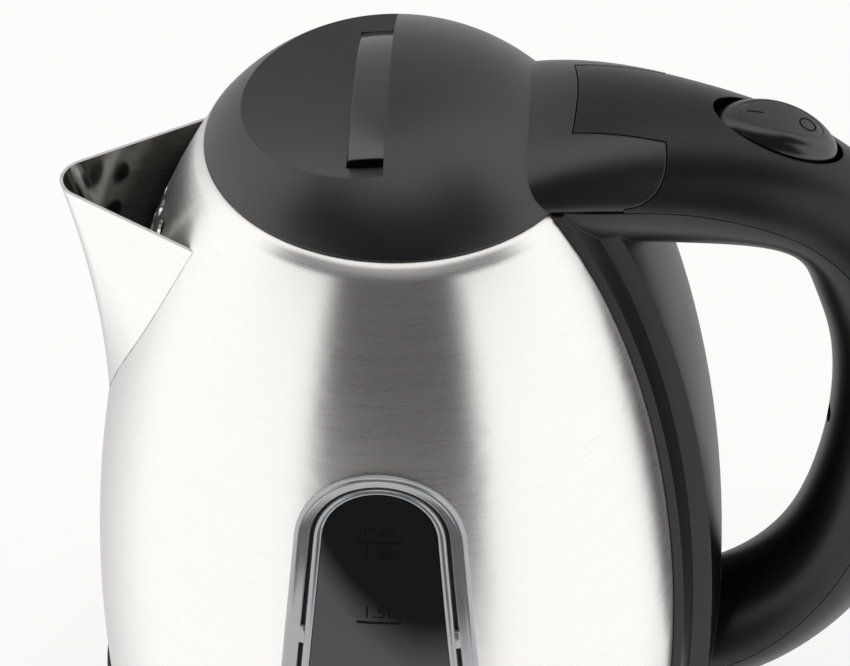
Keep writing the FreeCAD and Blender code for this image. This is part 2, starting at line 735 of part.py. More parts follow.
control_x = -(socket_radius + press_gap)
control_top = spreader_low - dim("disc_thick") - press_gap * 2
control_half = dim("control_width") / 2
node("thermostat_block", block("thermostat_block", (control_x - dim("control_length"), control_x),
                               (-control_half, control_half), (ring_floor + press_gap, control_top)))


def bimetal(label, side):
    return rod(label, dim("disc_radius"), dim("disc_thick"), control_x - dim("control_length") / 2,
               dim("disc_space") * side / 2, control_top + press_gap)


node("bimetal_discs", group("bimetal_discs", [bimetal("bimetal_left", 1), bimetal("bimetal_right", -1)]))


# Water window: outlines drawn on the XZ plane and carried through the wall towards -Y

def window_slot(label, grow, rise=0):
    """A slot of two arcs and their common tangents, grown by an offset, padded towards -Y."""
    body, sketch = new_sketch(label, "XZ_Plane")
    low = steel_low + dim("window_low")
    high = steel_low + dim("window_high") + rise
    low_r = dim("window_low_radius") + grow
    high_r = dim("window_high_radius") + grow
    lean = math.asin((low_r.value - high_r.value) / (high.value - low.value))
    low_centre = V(0, low.value, 0)
    high_centre = V(0, high.value, 0)
    normal = V(0, 0, 1)
    low_arc = sketch.addGeometry(Part.ArcOfCircle(
        Part.Circle(low_centre, normal, low_r.value), math.pi - lean, 2 * math.pi + lean))
    high_arc = sketch.addGeometry(Part.ArcOfCircle(
        Part.Circle(high_centre, normal, high_r.value), lean, math.pi - lean))
    right = sketch.addGeometry(Part.LineSegment(sketch.getPoint(low_arc, 2), sketch.getPoint(high_arc, 1)))
    left = sketch.addGeometry(Part.LineSegment(sketch.getPoint(high_arc, 2), sketch.getPoint(low_arc, 1)))
    loop = [low_arc, right, high_arc, left]
    for piece, after in zip(loop, loop[1:] + loop[:1]):
        sketch.addConstraint(Sketcher.Constraint("Tangent", piece, 2, after, 1))
    for arc, centre, radius in ((low_arc, low, low_r), (high_arc, high, high_r)):
        sketch.addConstraint(Sketcher.Constraint("PointOnObject", arc, 3, -2))
        hold(sketch, "DistanceY", -1, 1, arc, 3, size=centre)
        hold(sketch, "Radius", arc, size=radius)
    pad = body.newObject("PartDesign::Pad", label + "_pad")
    pad.Profile = sketch
    bind(pad, Length=far)
    return body


def shell_between(label, outer, inner, slot):
    """The part of the vessel's wall zone between two ovals that lies inside a slot."""
    return common(label, cut(label + "_skin", outer, inner), slot)


form_outside = vessel_form("vessel_outside", 0)
form_inside = vessel_form("vessel_inside", -steel_wall)
form_rim = vessel_form("window_rim_form", dim("window_proud"))
form_lap = vessel_form("window_lap_form", press_gap)
form_neck = vessel_form("window_neck_form", -dim("window_depth") - dim("gasket_thick"))
form_pane = vessel_form("window_pane_form", dim("window_proud") - dim("window_sunk"))
gasket_out = vessel_form("gasket_out_form", -steel_wall - press_gap)
gasket_in = vessel_form("gasket_in_form", -steel_wall - press_gap - dim("gasket_thick"))
clamp_out = vessel_form("clamp_out_form", -steel_wall - press_gap * 2 - dim("gasket_thick"))
clamp_depth = steel_wall + press_gap * 2 + dim("gasket_thick") + dim("clamp_thick")
clamp_in = vessel_form("clamp_in_form", -clamp_depth)

slot_rim = window_slot("slot_rim", as_size(0))
slot_neck = window_slot("slot_neck", -dim("window_lap") - press_gap)
slot_steel = window_slot("slot_steel", -dim("window_lap"))
slot_pane = window_slot("slot_pane", -dim("window_rim"), dim("pane_rise"))
slot_pane_fit = window_slot("slot_pane_fit", -dim("window_rim") - press_gap, dim("pane_rise"))
slot_clamp = window_slot("slot_clamp", dim("clamp_width"))

frame_lap = shell_between("frame_lap", form_rim, form_lap, slot_rim)
frame_neck = shell_between("frame_neck", form_rim, form_neck, slot_neck)
node("window_frame", cut("window_frame_cut", join("window_frame_form", frame_lap, frame_neck), slot_pane))
node("window_pane", shell_between("window_pane", form_pane, form_neck, slot_pane_fit))
gasket_zone = shell_between("gasket_zone", gasket_out, gasket_in, slot_clamp)
node("window_gasket", cut("window_gasket_cut", gasket_zone, slot_steel))
clamp_zone = shell_between("clamp_zone", clamp_out, clamp_in, slot_clamp)
node("window_clamp", cut("window_clamp_cut", clamp_zone, slot_steel))

# Spout: level sections with a round nose and straight flanks, lofted and hollowed

spout_lip_z = rim_z - dim("spout_drop")
spout_low_z = steel_low + dim("spout_low")
SPOUT_LEVELS = (0.0, 0.3, 0.65, 1.0)


def spout_section(share, inset):
    """A closed level section at a share of the spout's height, moved in by inset."""
    height = spout_low_z.value + (spout_lip_z.value - spout_low_z.value) * share
    tip_low = body_radius_at(spout_low_z).value
    tip_high = lid_radius.value + dim("spout_tip").value
    sweep = dim("spout_hollow").value * 4 * share * (1 - share)
    tip = tip_low + (tip_high - tip_low) * share - sweep
    nose = dim("spout_nose_low").value + (dim("spout_nose").value - dim("spout_nose_low").value) * share
    spread_low = dim("spout_spread_low").value
    spread = math.radians(spread_low + (dim("spout_spread").value - spread_low) * share)
    centre = V(nose - tip, 0, height)
    radius = nose - inset
    half = dim("spout_half").value - inset
    start = V(centre.x - radius * math.sin(spread), radius * math.cos(spread), height)
    middle = V(centre.x - radius, 0, height)
    flank_end = V(start.x + (half - start.y) / math.tan(spread), half, height)
    corner = V(-body_radius_at(spout_low_z).value / 3, half, height)

    def mirrored(point):
        return V(point.x, -point.y, point.z)

    side = [corner, flank_end, start]
    other = [mirrored(point) for point in reversed(side)]
    edges = [Part.LineSegment(a, b).toShape() for a, b in zip(side, side[1:])]
    edges.append(Part.Arc(start, middle, mirrored(start)).toShape())
    edges += [Part.LineSegment(a, b).toShape() for a, b in zip(other, other[1:])]
    edges.append(Part.LineSegment(mirrored(corner), corner).toShape())
    return Part.Wire(edges)


def spout_loft(label, inset):
    made = doc.addObject("Part::Feature", label)
    made.Shape = Part.makeLoft([spout_section(share, inset) for share in SPOUT_LEVELS], True, False)
    return made


spout_outside = spout_loft("spout_outside", 0)
spout_hollow = spout_loft("spout_hollow_form", dim("spout_wall").value)
spout_fit = vessel_form("spout_fit", press_gap)
node("spout", cut("spout_cut", spout_outside, spout_hollow, spout_fit))

# Steel vessel with its window opening, strainer holes and steam hole

STRAINER_ROWS = 4
strainer_top = spout_lip_z - dim("strainer_pitch")
strainer_tools = []
for level in range(STRAINER_ROWS):
    for across in range(-1, 2):
        if level == STRAINER_ROWS - 1 and across:
            continue
        hole_y = dim("strainer_pitch") * across
        hole_z = strainer_top - dim("strainer_pitch") * level
        strainer_tools.append(rod(
            f"strainer_{level}_{across + 1}", dim("strainer_hole"), dim("body_radius"),
            -dim("body_radius"), hole_y, hole_z, ALONG_X))

tube_z = lid_z - dim("tube_drop")
tube_start = body_radius_at(tube_z) - steel_wall
steam_hole = rod("steam_hole", dim("tube_radius") + press_gap, dim("tube_length"),
                 tube_start - dim("tube_radius"), 0, tube_z, ALONG_X)
wall_zone = block("wall_zone", (-far, far), (-far, far), (steel_low, rim_z))
vessel_wall = common("vessel_wall", cut("vessel_skin", form_outside, form_inside), wall_zone)
node("steel_body", cut("steel_body_cut", vessel_wall, slot_steel, steam_hole, *strainer_tools))

# Mouth ring: a plastic ring inside the steel's rim

ring_top = rim_z - dim("mouth_drop")
ring_zone = turned("mouth_ring_zone", [
    (lid_radius - dim("mouth_lip"), ring_top - dim("mouth_thick")),
    (lid_radius * 2, ring_top - dim("mouth_thick")),
    (lid_radius * 2, ring_top),
    (lid_radius - dim("mouth_lip"), ring_top),
])
node("mouth_ring", common("mouth_ring_fit", ring_zone, vessel_form("mouth_fit", -steel_wall - press_gap)))

# Handle: a parting curve of two Bezier arcs, with half-ellipse sections on each side of it

reach = (dim("body_radius") + dim("grip_reach")).value
grip_z = (belly_z + dim("grip_rise")).value
foot_line = (steel_low + dim("foot_rise")).value
neck_x = (lid_radius - dim("neck_back")).value
TOP_CURVE = Part.BezierCurve()
TOP_CURVE.setPoles([
    V(neck_x, 0, lid_z.value),
    V((lid_radius + dim("bar_run")).value, 0, lid_z.value),
    V(reach, 0, grip_z + dim("shoulder_rise").value),
    V(reach, 0, grip_z),
])
LOW_CURVE = Part.BezierCurve()
LOW_CURVE.setPoles([
    V(reach, 0, grip_z),
    V(reach, 0, grip_z - dim("heel_drop").value),
    V(reach - dim("heel_back").value, 0, foot_line + dim("heel_rise").value),
    V((dim("body_radius") - dim("foot_sink")).value, 0, foot_line),
])
SECTION_KEYS = [(0.0, "neck"), (0.12, "tail"), (0.3, "top"), (0.55, "corner"), (0.75, "shoulder"),
                (1.0, "grip"), (1.5, "heel"), (2.0, "foot")]
STATIONS = (0.0, 0.1, 0.2, 0.3, 0.42, 0.55, 0.7, 0.85, 1.0, 1.25, 1.5, 1.7, 1.85, 2.0)


def section_size(along, kind):
    """A section's half width or depth at a place along the handle, from the named sections each side."""
    for (start, first), (end, second) in zip(SECTION_KEYS, SECTION_KEYS[1:]):
        if along <= end:
            share = (along - start) / (end - start)
            low = dim(f"{first}_{kind}").value
            return low + (dim(f"{second}_{kind}").value - low) * share


def handle_frame(along):
    """The parting line's point, direction and outward normal at a place from 0, neck, to 2, foot."""
    curve, share = (TOP_CURVE, along) if along <= 1 else (LOW_CURVE, along - 1)
    direction = V(curve.tangent(share)[0])
    return curve.value(share), direction, V(-direction.z, 0, direction.x)


def half_section(along, kind, inset, gap, overrun):
    """Half an ellipse on one side of the parting line, closed by straight lines."""
    point, direction, normal = handle_frame(along)
    if kind == "in":
        normal = -normal
    wide = section_size(along, "half") - inset
    deep = section_size(along, kind) - inset - gap
    start = point + normal * gap
    side = V(0, 1, 0)
    matrix = FreeCAD.Matrix(side.x * wide, normal.x * deep, direction.x, start.x,
                            side.y * wide, normal.y * deep, direction.y, start.y,
                            side.z * wide, normal.z * deep, direction.z, start.z,
                            0, 0, 0, 1)
    arc = Part.makeCircle(1, V(), V(0, 0, 1), 0, 180).transformGeometry(matrix).Edges[0]
    corners = [start - side * wide, start + side * wide]
    if overrun:
        corners[1:1] = [corner - normal * overrun for corner in corners]
    lines = [Part.LineSegment(a, b).toShape() for a, b in zip(corners, corners[1:])]
    return Part.Wire([arc] + lines)


def handle_half(label, kind, first=0.0, last=2.0, inset=0.0, gap=0.0, overrun=0.0):
    """A lofted half of the handle between two places along it."""
    places = [along for along in STATIONS if first <= along <= last]
    made = doc.addObject("Part::Feature", label)
    made.Shape = Part.makeLoft([half_section(a, kind, inset, gap, overrun) for a in places], True, False)
    return made


wall = dim("handle_wall").value
half_gap = dim("parting_gap").value / 2
outer_half = handle_half("handle_outer_form", "out", gap=half_gap)
inner_half = handle_half("handle_inner_form", "in", gap=half_gap)
HOLLOW_START = 0.3
outer_room = handle_half("handle_outer_room", "out", inset=-half_gap, gap=-half_gap / 2)
outer_hollow = handle_half("handle_outer_hollow", "out", HOLLOW_START, inset=wall, overrun=wall)
inner_hollow = handle_half("handle_inner_hollow", "in", HOLLOW_START, inset=wall, overrun=wall)

# Hinge between the lid's ears and the handle's tongue

hinge_x = lid_radius + dim("hinge_back")
hinge_z = lid_z + dim("hinge_rise")
wide_half = dim("neck_half") * 2


def hinge_drum(label, radius, half):
    """A cylinder about the hinge axis."""
    return rod(label, radius, half * 2, hinge_x, -half, hinge_z, ALONG_Y)


tall = (lid_z - dim("dome_height"), lid_z + dim("dome_height") * 2)
before_hinge = block("before_hinge", (0, hinge_x), (-wide_half, wide_half), tall)
ear_zone = join("ear_zone", before_hinge, hinge_drum("ear_drum", dim("ear_radius"), wide_half))
seat_zone = join("seat_zone", before_hinge, hinge_drum("seat_drum", dim("ear_radius") + run_gap, wide_half))


def tongue_zone(label, gap):
    """Room of the tongue: a round nose about the hinge axis and a straight tail behind it."""
    half = dim("tongue_half") + gap
    tail_end = hinge_x + dim("ear_radius") + dim("tongue_tail")
    tail = block(label + "_tail", (hinge_x, tail_end), (-half, half), tall)
    return join(label, hinge_drum(label + "_nose", dim("tongue_radius") + gap, half), tail)


pin_hole = hinge_drum("pin_hole", dim("pin_radius") + pivot_gap, dim("pin_half") + press_gap)
node("hinge_pin", hinge_drum("hinge_pin", dim("pin_radius"), dim("pin_half")))

# Switch under the rocker, in a frame that lies on the handle's crown

ROCKER_PLACE = 0.4
crown_point, crown_direction, crown_normal = handle_frame(ROCKER_PLACE)
crown_point = crown_point + crown_normal * section_size(ROCKER_PLACE, "out")
crown_lean = math.degrees(math.atan2(crown_normal.x, crown_normal.z))
CROWN = FreeCAD.Placement(crown_point, FreeCAD.Rotation(V(0, 1, 0), crown_lean))
pivot_depth = dim("rocker_pivot").value
rest_turn = FreeCAD.Rotation(V(0, 1, 0), -dim("rocker_tilt").value)
REST_TILT = FreeCAD.Placement(V(), rest_turn, V(0, 0, -pivot_depth))


def on_crown(piece, tilt=None):
    """Carry a piece from the switch's own frame to its place on the handle."""
    carried = group(piece.Name + "_on_handle", [piece])
    carried.Placement = CROWN if tilt is None else CROWN.multiply(tilt)
    return carried


def oval_post(label, long_half, short_half, low, high):
    """An upright elliptic cylinder between two heights of the switch's own frame."""
    ellipse = doc.addObject("Part::Ellipse", label + "_outline")
    bind(ellipse, MajorRadius=long_half, MinorRadius=short_half)
    post = doc.addObject("Part::Extrusion", label)
    post.Base = ellipse
    post.DirMode = "Custom"
    post.Dir = V(0, 0, 1)
    post.Solid = True
    bind(post, LengthFwd=as_size(high) - low)
    bind_place(post, z=low)
    return post


rocker_low = -dim("rocker_depth")
rocker_blank = oval_post("rocker_blank", dim("rocker_half_length"), dim("rocker_half_width"),
                         rocker_low, dim("rocker_proud") * 2)
crown_drum = rod("rocker_crown_drum", dim("rocker_crown"), dim("rocker_half_width") * 4, 0,
                 -(dim("rocker_half_width") * 2), dim("rocker_proud") - dim("rocker_crown"), ALONG_Y)
post_room = dim("post_half_length") * 2
side_room = dim("post_half_width") + run_gap
post_slot = block("rocker_post_slot", (-post_room, post_room), (-side_room, side_room),
                  (rocker_low, -dim("rocker_pivot") + dim("rocker_pin") * 2.5))
pin_start = -dim("rocker_pin_half")
rocker_bore = rod("rocker_bore", dim("rocker_pin") + pivot_gap, dim("rocker_pin_half") * 2,
                  0, pin_start, -dim("rocker_pivot"), ALONG_Y)
rocker_form = cut("rocker_form", common("rocker_crowned", rocker_blank, crown_drum), post_slot, rocker_bore)
node("switch_rocker", on_crown(rocker_form, REST_TILT))
pin_length = dim("rocker_pin_half") * 2 - press_gap * 2
node("rocker_pin", on_crown(rod("rocker_pin_rod", dim("rocker_pin"), pin_length,
                                0, pin_start + press_gap, -dim("rocker_pivot"), ALONG_Y)))

house_x = dim("housing_half_length")
house_y = dim("housing_half_width")
house_top = -dim("housing_top")
house_low = house_top - dim("housing_height")
lever_x = house_x + dim("lever_gap")
lever_low = house_low + dim("lever_thick")
lever_axis_x = lever_x + dim("lever_thick") / 2
lever_axis_z = lever_low + dim("lever_length") / 2
housing_box = block("housing_box", (-house_x, house_x), (-house_y, house_y), (house_low, house_top))
post_half = dim("post_half_length")
post_side = dim("post_half_width")
housing_post = block("housing_post", (-post_half, post_half), (-post_side, post_side),
                     (house_top, -dim("rocker_pivot") + dim("rocker_pin") * 2))
arm_end = lever_x + dim("lever_thick") * 1.5
arm_high = lever_axis_z + dim("lever_thick")
arm_out = dim("lever_pin_half")
arm_in = arm_out - dim("arm_thick")
housing_arms = [
    block("housing_arm_left", (house_x, arm_end), (arm_in, arm_out), (house_low, arm_high)),
    block("housing_arm_right", (house_x, arm_end), (-arm_out, -arm_in), (house_low, arm_high)),
]
lever_bore = rod("lever_bore", dim("lever_pin") + pivot_gap, arm_out * 2,
                 lever_axis_x, -arm_out, lever_axis_z, ALONG_Y)
pin_seat = rod("rocker_pin_seat", dim("rocker_pin") + press_gap, dim("rocker_pin_half") * 2,
               0, pin_start, -dim("rocker_pivot"), ALONG_Y)
housing_form = join("housing_form", housing_box, housing_post, *housing_arms)
node("steam_switch_housing", on_crown(cut("housing_cut", housing_form, lever_bore, pin_seat)))

lever_half = dim("lever_half")
lever_bar = block("lever_bar", (lever_x, lever_x + dim("lever_thick")), (-lever_half, lever_half),
                  (lever_low, lever_low + dim("lever_length")))
lever_trunnion = rod("lever_trunnion", dim("lever_pin"), arm_out * 2 - press_gap * 2,
                     lever_axis_x, -arm_out + press_gap, lever_axis_z, ALONG_Y)
node("trip_lever", on_crown(join("trip_lever_form", lever_bar, lever_trunnion)))
disc_x = -house_x - press_gap - dim("steam_disc_thick")
disc_z = (house_low + house_top) / 2
node("steam_bimetal", on_crown(rod("steam_disc", dim("steam_disc"), dim("steam_disc_thick"),
                                   disc_x, 0, disc_z, ALONG_X)))
disc_room = on_crown(rod("disc_room", dim("steam_disc") + run_gap, dim("steam_disc_thick") + run_gap * 2,
                         disc_x - run_gap, 0, disc_z, ALONG_X))
rocker_pocket = on_crown(oval_post("rocker_pocket", dim("rocker_half_length") + dim("rocker_end_gap"),
                                   dim("rocker_half_width") + dim("rocker_side_gap"),
                                   house_top, dim("rocker_proud") * 4))
rest_low = wall / 2 - section_size(ROCKER_PLACE, "out") - section_size(ROCKER_PLACE, "in")
housing_rest = on_crown(block("housing_rest", (-post_half, post_half), (-house_y / 2, house_y / 2),
                              (rest_low, house_low - press_gap)))

# Steam tube from the vessel's wall to the switch

tube_inner = dim("tube_radius") - dim("tube_wall")
node("steam_tube", tube("steam_tube", dim("tube_radius"), tube_inner, dim("tube_length"),
                        tube_start, 0, tube_z, ALONG_X))
tube_hole = rod("tube_hole", dim("tube_radius") + press_gap, dim("tube_length") * 2,
                tube_start, 0, tube_z, ALONG_X)

# Screws that hold the handle's shells together, driven from the hand gap

HANDLE_SCREW_PLACES = (0.8, 1.04)
screw_sink = 3.0


def along_normal(label, place, radius, start, end):
    """A rod on the section's outward normal, from one distance to another off the parting line."""
    point, direction, normal = handle_frame(place)
    made = doc.addObject("Part::Cylinder", label)
    bind(made, Radius=radius)
    made.Height = end - start
    made.Placement = FreeCAD.Placement(point + normal * start, FreeCAD.Rotation(V(0, 0, 1), normal))
    return made


boss = dim("boss_radius")
head_bore = dim("screw_head") + press_gap
handle_screws, inner_posts, outer_posts, inner_bores, outer_bores = [], [], [], [], []
for number, place in enumerate(HANDLE_SCREW_PLACES):
    inside = -section_size(place, "in")
    outside = section_size(place, "out")
    head_seat = inside + screw_sink
    tip = outside - wall - screw_sink
    hole_radius = dim("screw_radius") + press_gap
    head_top = head_seat - press_gap.value
    head_low = head_top - dim("screw_head_height").value
    shaft = along_normal(f"handle_screw_shaft_{number}", place, dim("screw_radius"), head_top, tip)
    head = along_normal(f"handle_screw_head_{number}", place, dim("screw_head"), head_low, head_top)
    handle_screws.append(join(f"handle_screw_{number}", shaft, head))
    inner_post_low = inside + wall / 2
    outer_post_high = outside - wall / 2
    inner_posts.append(along_normal(f"inner_post_{number}", place, boss, inner_post_low, -half_gap))
    outer_posts.append(along_normal(f"outer_post_{number}", place, boss, half_gap, outer_post_high))
    inner_bores.append(along_normal(f"inner_bore_{number}", place, hole_radius, inside * 2, 0))
    inner_bores.append(along_normal(f"head_bore_{number}", place, head_bore, inside * 2, head_seat))
    outer_bores.append(along_normal(f"outer_bore_{number}", place, hole_radius, 0, tip + press_gap.value))
node("handle_screws", group("handle_screws", handle_screws))

# Handle inner shell: the hand side of the loop, with the band that lies along the vessel

band_low = steel_low + run_gap
band_top = rim_z - run_gap


def band_zone(label, half_top, half_low):
    """A wedge round the XZ plane on the handle's side, as wide as the band."""
    return padded(label, "YZ_Plane", [
        (-half_low, band_low),
        (half_low, band_low),
        (half_top, band_top),
        (-half_top, band_top),
    ], dim("body_radius") / 4, far)


crest_half = dim("band_half")
crest_inner = crest_half - dim("handle_wall")
crest_zone = band_zone("crest_zone", crest_half, crest_half)
crest_hollow_zone = band_zone("crest_hollow_zone", crest_inner, crest_inner)
flange_zone = band_zone("flange_zone", dim("flange_half_top"), dim("flange_half_low"))
crest = common("band_crest", vessel_form("crest_form", dim("band_height")), crest_zone)
crest_core = common("band_core", vessel_form("crest_inner_form", dim("band_height") - dim("handle_wall")),
                    crest_hollow_zone)
flange = common("band_flange", vessel_form("flange_form", dim("flange_height")), flange_zone)
band = cut("band", join("band_form", crest, flange), crest_core, outer_room)
inner_shell = cut("inner_channel", inner_half, inner_hollow)
band_fit = vessel_form("band_fit", dim("band_gap"))
ring_clear = rod("ring_clear", ring_radius + run_gap, steel_low + run_gap)
rim_clear = rod("rim_clear", lid_radius + run_gap, lid_z * 2)
inner_joined = join("inner_joined", inner_shell, band, housing_rest, *inner_posts)
inner_cuts = [band_fit, ring_clear, rim_clear, tube_hole, disc_room, *inner_bores]
node("handle_inner_shell", cut("handle_inner_cut", inner_joined, *inner_cuts))

# Handle outer shell: the back of the loop, with the hinge tongue and the rocker's pocket

tongue_room = tongue_zone("tongue_room", as_size(0))
outer_channel = cut("outer_channel", outer_hollow, tongue_room)
ear_seat = cut("ear_seat", seat_zone, tongue_room)
outer_joined = join("outer_joined", cut("outer_shell", outer_half, outer_channel, ear_seat), *outer_posts)
outer_cuts = [pin_hole, rocker_pocket, disc_room, band_fit, ring_clear, *outer_bores]
node("handle_outer_shell", cut("handle_outer_cut", outer_joined, *outer_cuts))

# Lid: a hollow dome, cut away over the finger scoop, with a tail that ends in the hinge ears

lid_zone = block("lid_zone", (-far, far), (-far, far), (lid_z, lid_z + far))
dome_radius = (lid_radius * lid_radius / dim("dome_height") + dim("dome_height")) / 2
dome_centre = lid_z + dim("dome_height") - dome_radius


def dome_form(label, inset):
    """The dome's sphere, moved in by inset."""
    return ball(label, dome_radius - inset, 0, dome_centre)


dome_core = dome_form("dome_core", dim("lid_wall"))
scoop_x = -dim("scoop_offset")
scoop_z = lid_z + dim("scoop_height") + dim("scoop_radius")
scoop_dish = ball("scoop_dish", dim("scoop_radius"), scoop_x, scoop_z)
scoop_under = ball("scoop_under", dim("scoop_radius") + dim("scoop_floor"), scoop_x, scoop_z)
step_x = -dim("step_offset")
bar_front = step_x - dim("bar_width") - run_gap
front_zone = block("front_zone", (-far, step_x), (-far, far), tall)
rear_zone = block("rear_zone", (step_x, far), (-far, far), tall)
bar_slot_half = dim("bar_slot_half")
slot_zone = block("slot_zone", (bar_front - run_gap, far), (-bar_slot_half, bar_slot_half), tall)
dome = common("dome", dome_form("dome_solid", as_size(0)), lid_zone)
scoop_cut = common("scoop_cut", scoop_dish, front_zone)
hollow_low = cut("hollow_low", dome_core, scoop_under)
hollow_rear = common("hollow_rear", dome_core, rear_zone)
release_slot = common("release_slot", dome_core, slot_zone)
dome_shell = cut("dome_shell", dome, hollow_low, hollow_rear, release_slot, scoop_cut)

tail_form = handle_half("tail_form", "out", 0.0, 0.3, gap=(run_gap + dim("parting_gap")).value)
tail = cut("tail", common("tail_zone", tail_form, ear_zone), dome_core)
tongue_slot = tongue_zone("tongue_slot", run_gap)

plate_low = lid_z + press_gap * 2
plate_high = plate_low + dim("plate_thick")
core_radius = dome_radius - dim("lid_wall")
plate_rise = plate_high - dome_centre
plate_radius_lid = root(core_radius * core_radius - plate_rise * plate_rise) - run_gap
skirt_outer = plate_radius_lid - dim("skirt_gap")
skirt_inner = skirt_outer - dim("skirt_wall")
screw_reach = (skirt_inner - dim("lid_screw_inset")) * math.sqrt(0.5)
boss_height = dim("dome_height")


def lid_boss(label, x, y):
    return rod(label, dim("lid_boss"), boss_height, x, y, plate_high + press_gap)


def lid_screw_hole(label, x, y):
    return rod(label, dim("screw_radius") + press_gap, dim("lid_screw_length") + press_gap, x, y, plate_low)


def lid_screw(label, x, y):
    return screw(label, dim("lid_screw_length"), x, y, plate_low)


def at_lid_corners(label, make):
    made = []
    for i, side_x in enumerate((1, -1)):
        for j, side_y in enumerate((1, -1)):
            made.append(make(f"{label}_{i}{j}", screw_reach * side_x, screw_reach * side_y))
    return made


bolt_half = dim("bolt_width") / 2
spring_start = dim("bar_tuck") + press_gap
spring_end = spring_start + dim("spring_length")
spring_post = block("spring_post", (spring_end + press_gap, spring_end + dim("lid_wall")),
                    (-bolt_half, bolt_half), (plate_high + press_gap, lid_z + dim("dome_height")))
lid_holes = at_lid_corners("lid_hole", lid_screw_hole)
half_wall = dim("lid_wall") / 2
lug_dome = dome_form("lug_dome", half_wall)
lug_dish = ball("lug_dish", dim("scoop_radius") + dim("scoop_floor") / 2, scoop_x, scoop_z)
lug_rods = join("lid_lug_rods", spring_post, *at_lid_corners("lid_boss", lid_boss))
lid_lugs = cut("lid_lugs", common("lid_lugs_trimmed", lug_rods, lug_dome), lug_dish)
lid_joined = join("lid_joined", dome_shell, lid_lugs, tail)
node("lid_cover", cut("lid_cover_cut", lid_joined, tongue_slot, pin_hole, *lid_holes))
node("lid_screws", group("lid_screws", at_lid_corners("lid_screw", lid_screw)))

# Lid inner plate with its skirt, and the silicone seal round the skirt

skirt_low = lid_z - dim("skirt_depth")
lid_disc = turned("lid_disc", [
    (0, plate_low),
    (skirt_inner, plate_low),
    (skirt_inner, skirt_low),
    (skirt_outer, skirt_low),
    (skirt_outer, plate_low),
    (plate_radius_lid, plate_low),
    (plate_radius_lid, plate_high),
    (0, plate_high),
])

bolt_low = plate_high + run_gap
bolt_high = bolt_low + dim("bolt_thick")
catch_low = ring_top - dim("mouth_thick")
tip_high = catch_low - run_gap
tip_low = tip_high - dim("bolt_thick")
tip_x = -(lid_radius - dim("mouth_lip") - dim("bolt_short"))
leg_front = -(skirt_inner - run_gap * 4)
leg_back = leg_front + dim("bolt_leg")
slot_half = bolt_half + run_gap
leg_slot = block("leg_slot", (leg_front - run_gap, leg_back + dim("bar_travel") + run_gap),
                 (-slot_half, slot_half), (plate_low - run_gap, plate_high + run_gap))
tip_notch = block("tip_notch", (-lid_radius, leg_back),
                  (-slot_half, slot_half), (skirt_low - run_gap, tip_high + run_gap))
node("lid_inner_plate", cut("lid_plate_cut", lid_disc, leg_slot, tip_notch, *lid_holes))

seal_high = plate_low - press_gap
seal_low = catch_low
node("lid_seal", turned("lid_seal", [
    (skirt_outer + press_gap, seal_low),
    (skirt_outer + dim("seal_thick"), seal_low),
    (skirt_outer + dim("seal_thick"), seal_high),
    (skirt_outer + press_gap, seal_high),
]))

# Lid release: the bar in the scoop's slot, the latch bolt below it and the spring behind it

bar_half = dim("bar_half")
bar_wall = dim("bar_wall")
bar_top = dome_form("bar_top", dim("bar_drop"))
bar_roof = dome_form("bar_roof", dim("bar_drop") + bar_wall)
bar_block = block("bar_block", (bar_front, dim("bar_tuck")), (-bar_half, bar_half), (bolt_high, lid_z + far))
pocket_x = (bar_front + bar_wall, dim("bar_tuck") - bar_wall)
pocket_z = (lid_z, lid_z + far)
pocket_left = block("bar_pocket_left", pocket_x, (bolt_half + bar_wall, bar_half - bar_wall), pocket_z)
pocket_right = block("bar_pocket_right", pocket_x, (bar_wall - bar_half, -bolt_half - bar_wall), pocket_z)
bar_pockets = common("bar_pockets", join("bar_pocket_blocks", pocket_left, pocket_right), bar_roof)
node("lid_release_bar", cut("release_bar", common("bar_body", bar_block, bar_top), bar_pockets))
bolt_run = block("bolt_run", (leg_front, dim("bar_tuck")), (-bolt_half, bolt_half), (bolt_low, bolt_high))
bolt_leg = block("bolt_leg_block", (leg_front, leg_back), (-bolt_half, bolt_half), (tip_low, bolt_high))
bolt_tip = block("bolt_tip", (tip_x, leg_back), (-bolt_half, bolt_half), (tip_low, tip_high))
node("latch_bolt", join("latch_bolt", bolt_run, bolt_leg, bolt_tip))
spring_z = lid_z + dim("spring_height")
spring_bore = dim("spring_radius") - dim("spring_wall")
node("latch_spring", tube("latch_spring", dim("spring_radius"), spring_bore,
                          dim("spring_length") - press_gap, spring_start, 0, spring_z, ALONG_X))

# Check every object, then write one file per piece

doc.recompute()
for thing in doc.Objects:
    if "Invalid" in thing.State or "Error" in thing.State:
        raise RuntimeError(f"{thing.Name} failed: {thing.State}")
for name, piece in nodes.items():
    if piece.Shape.isNull() or not piece.Shape.isValid() or not piece.Shape.Solids:
        raise RuntimeError(f"{name} has no valid shape")

os.makedirs("parts", exist_ok=True)
for name, piece in nodes.items():
    piece.Shape.exportStep(f"parts/{name}.step")
    box = piece.Shape.BoundBox
    print(f"{name}: {len(piece.Shape.Solids)} solids, {piece.Shape.Volume:.0f} mm3, "
          f"x {box.XMin:.1f} {box.XMax:.1f}, y {box.YMin:.1f} {box.YMax:.1f}, "
          f"z {box.ZMin:.1f} {box.ZMax:.1f}")
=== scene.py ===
import math

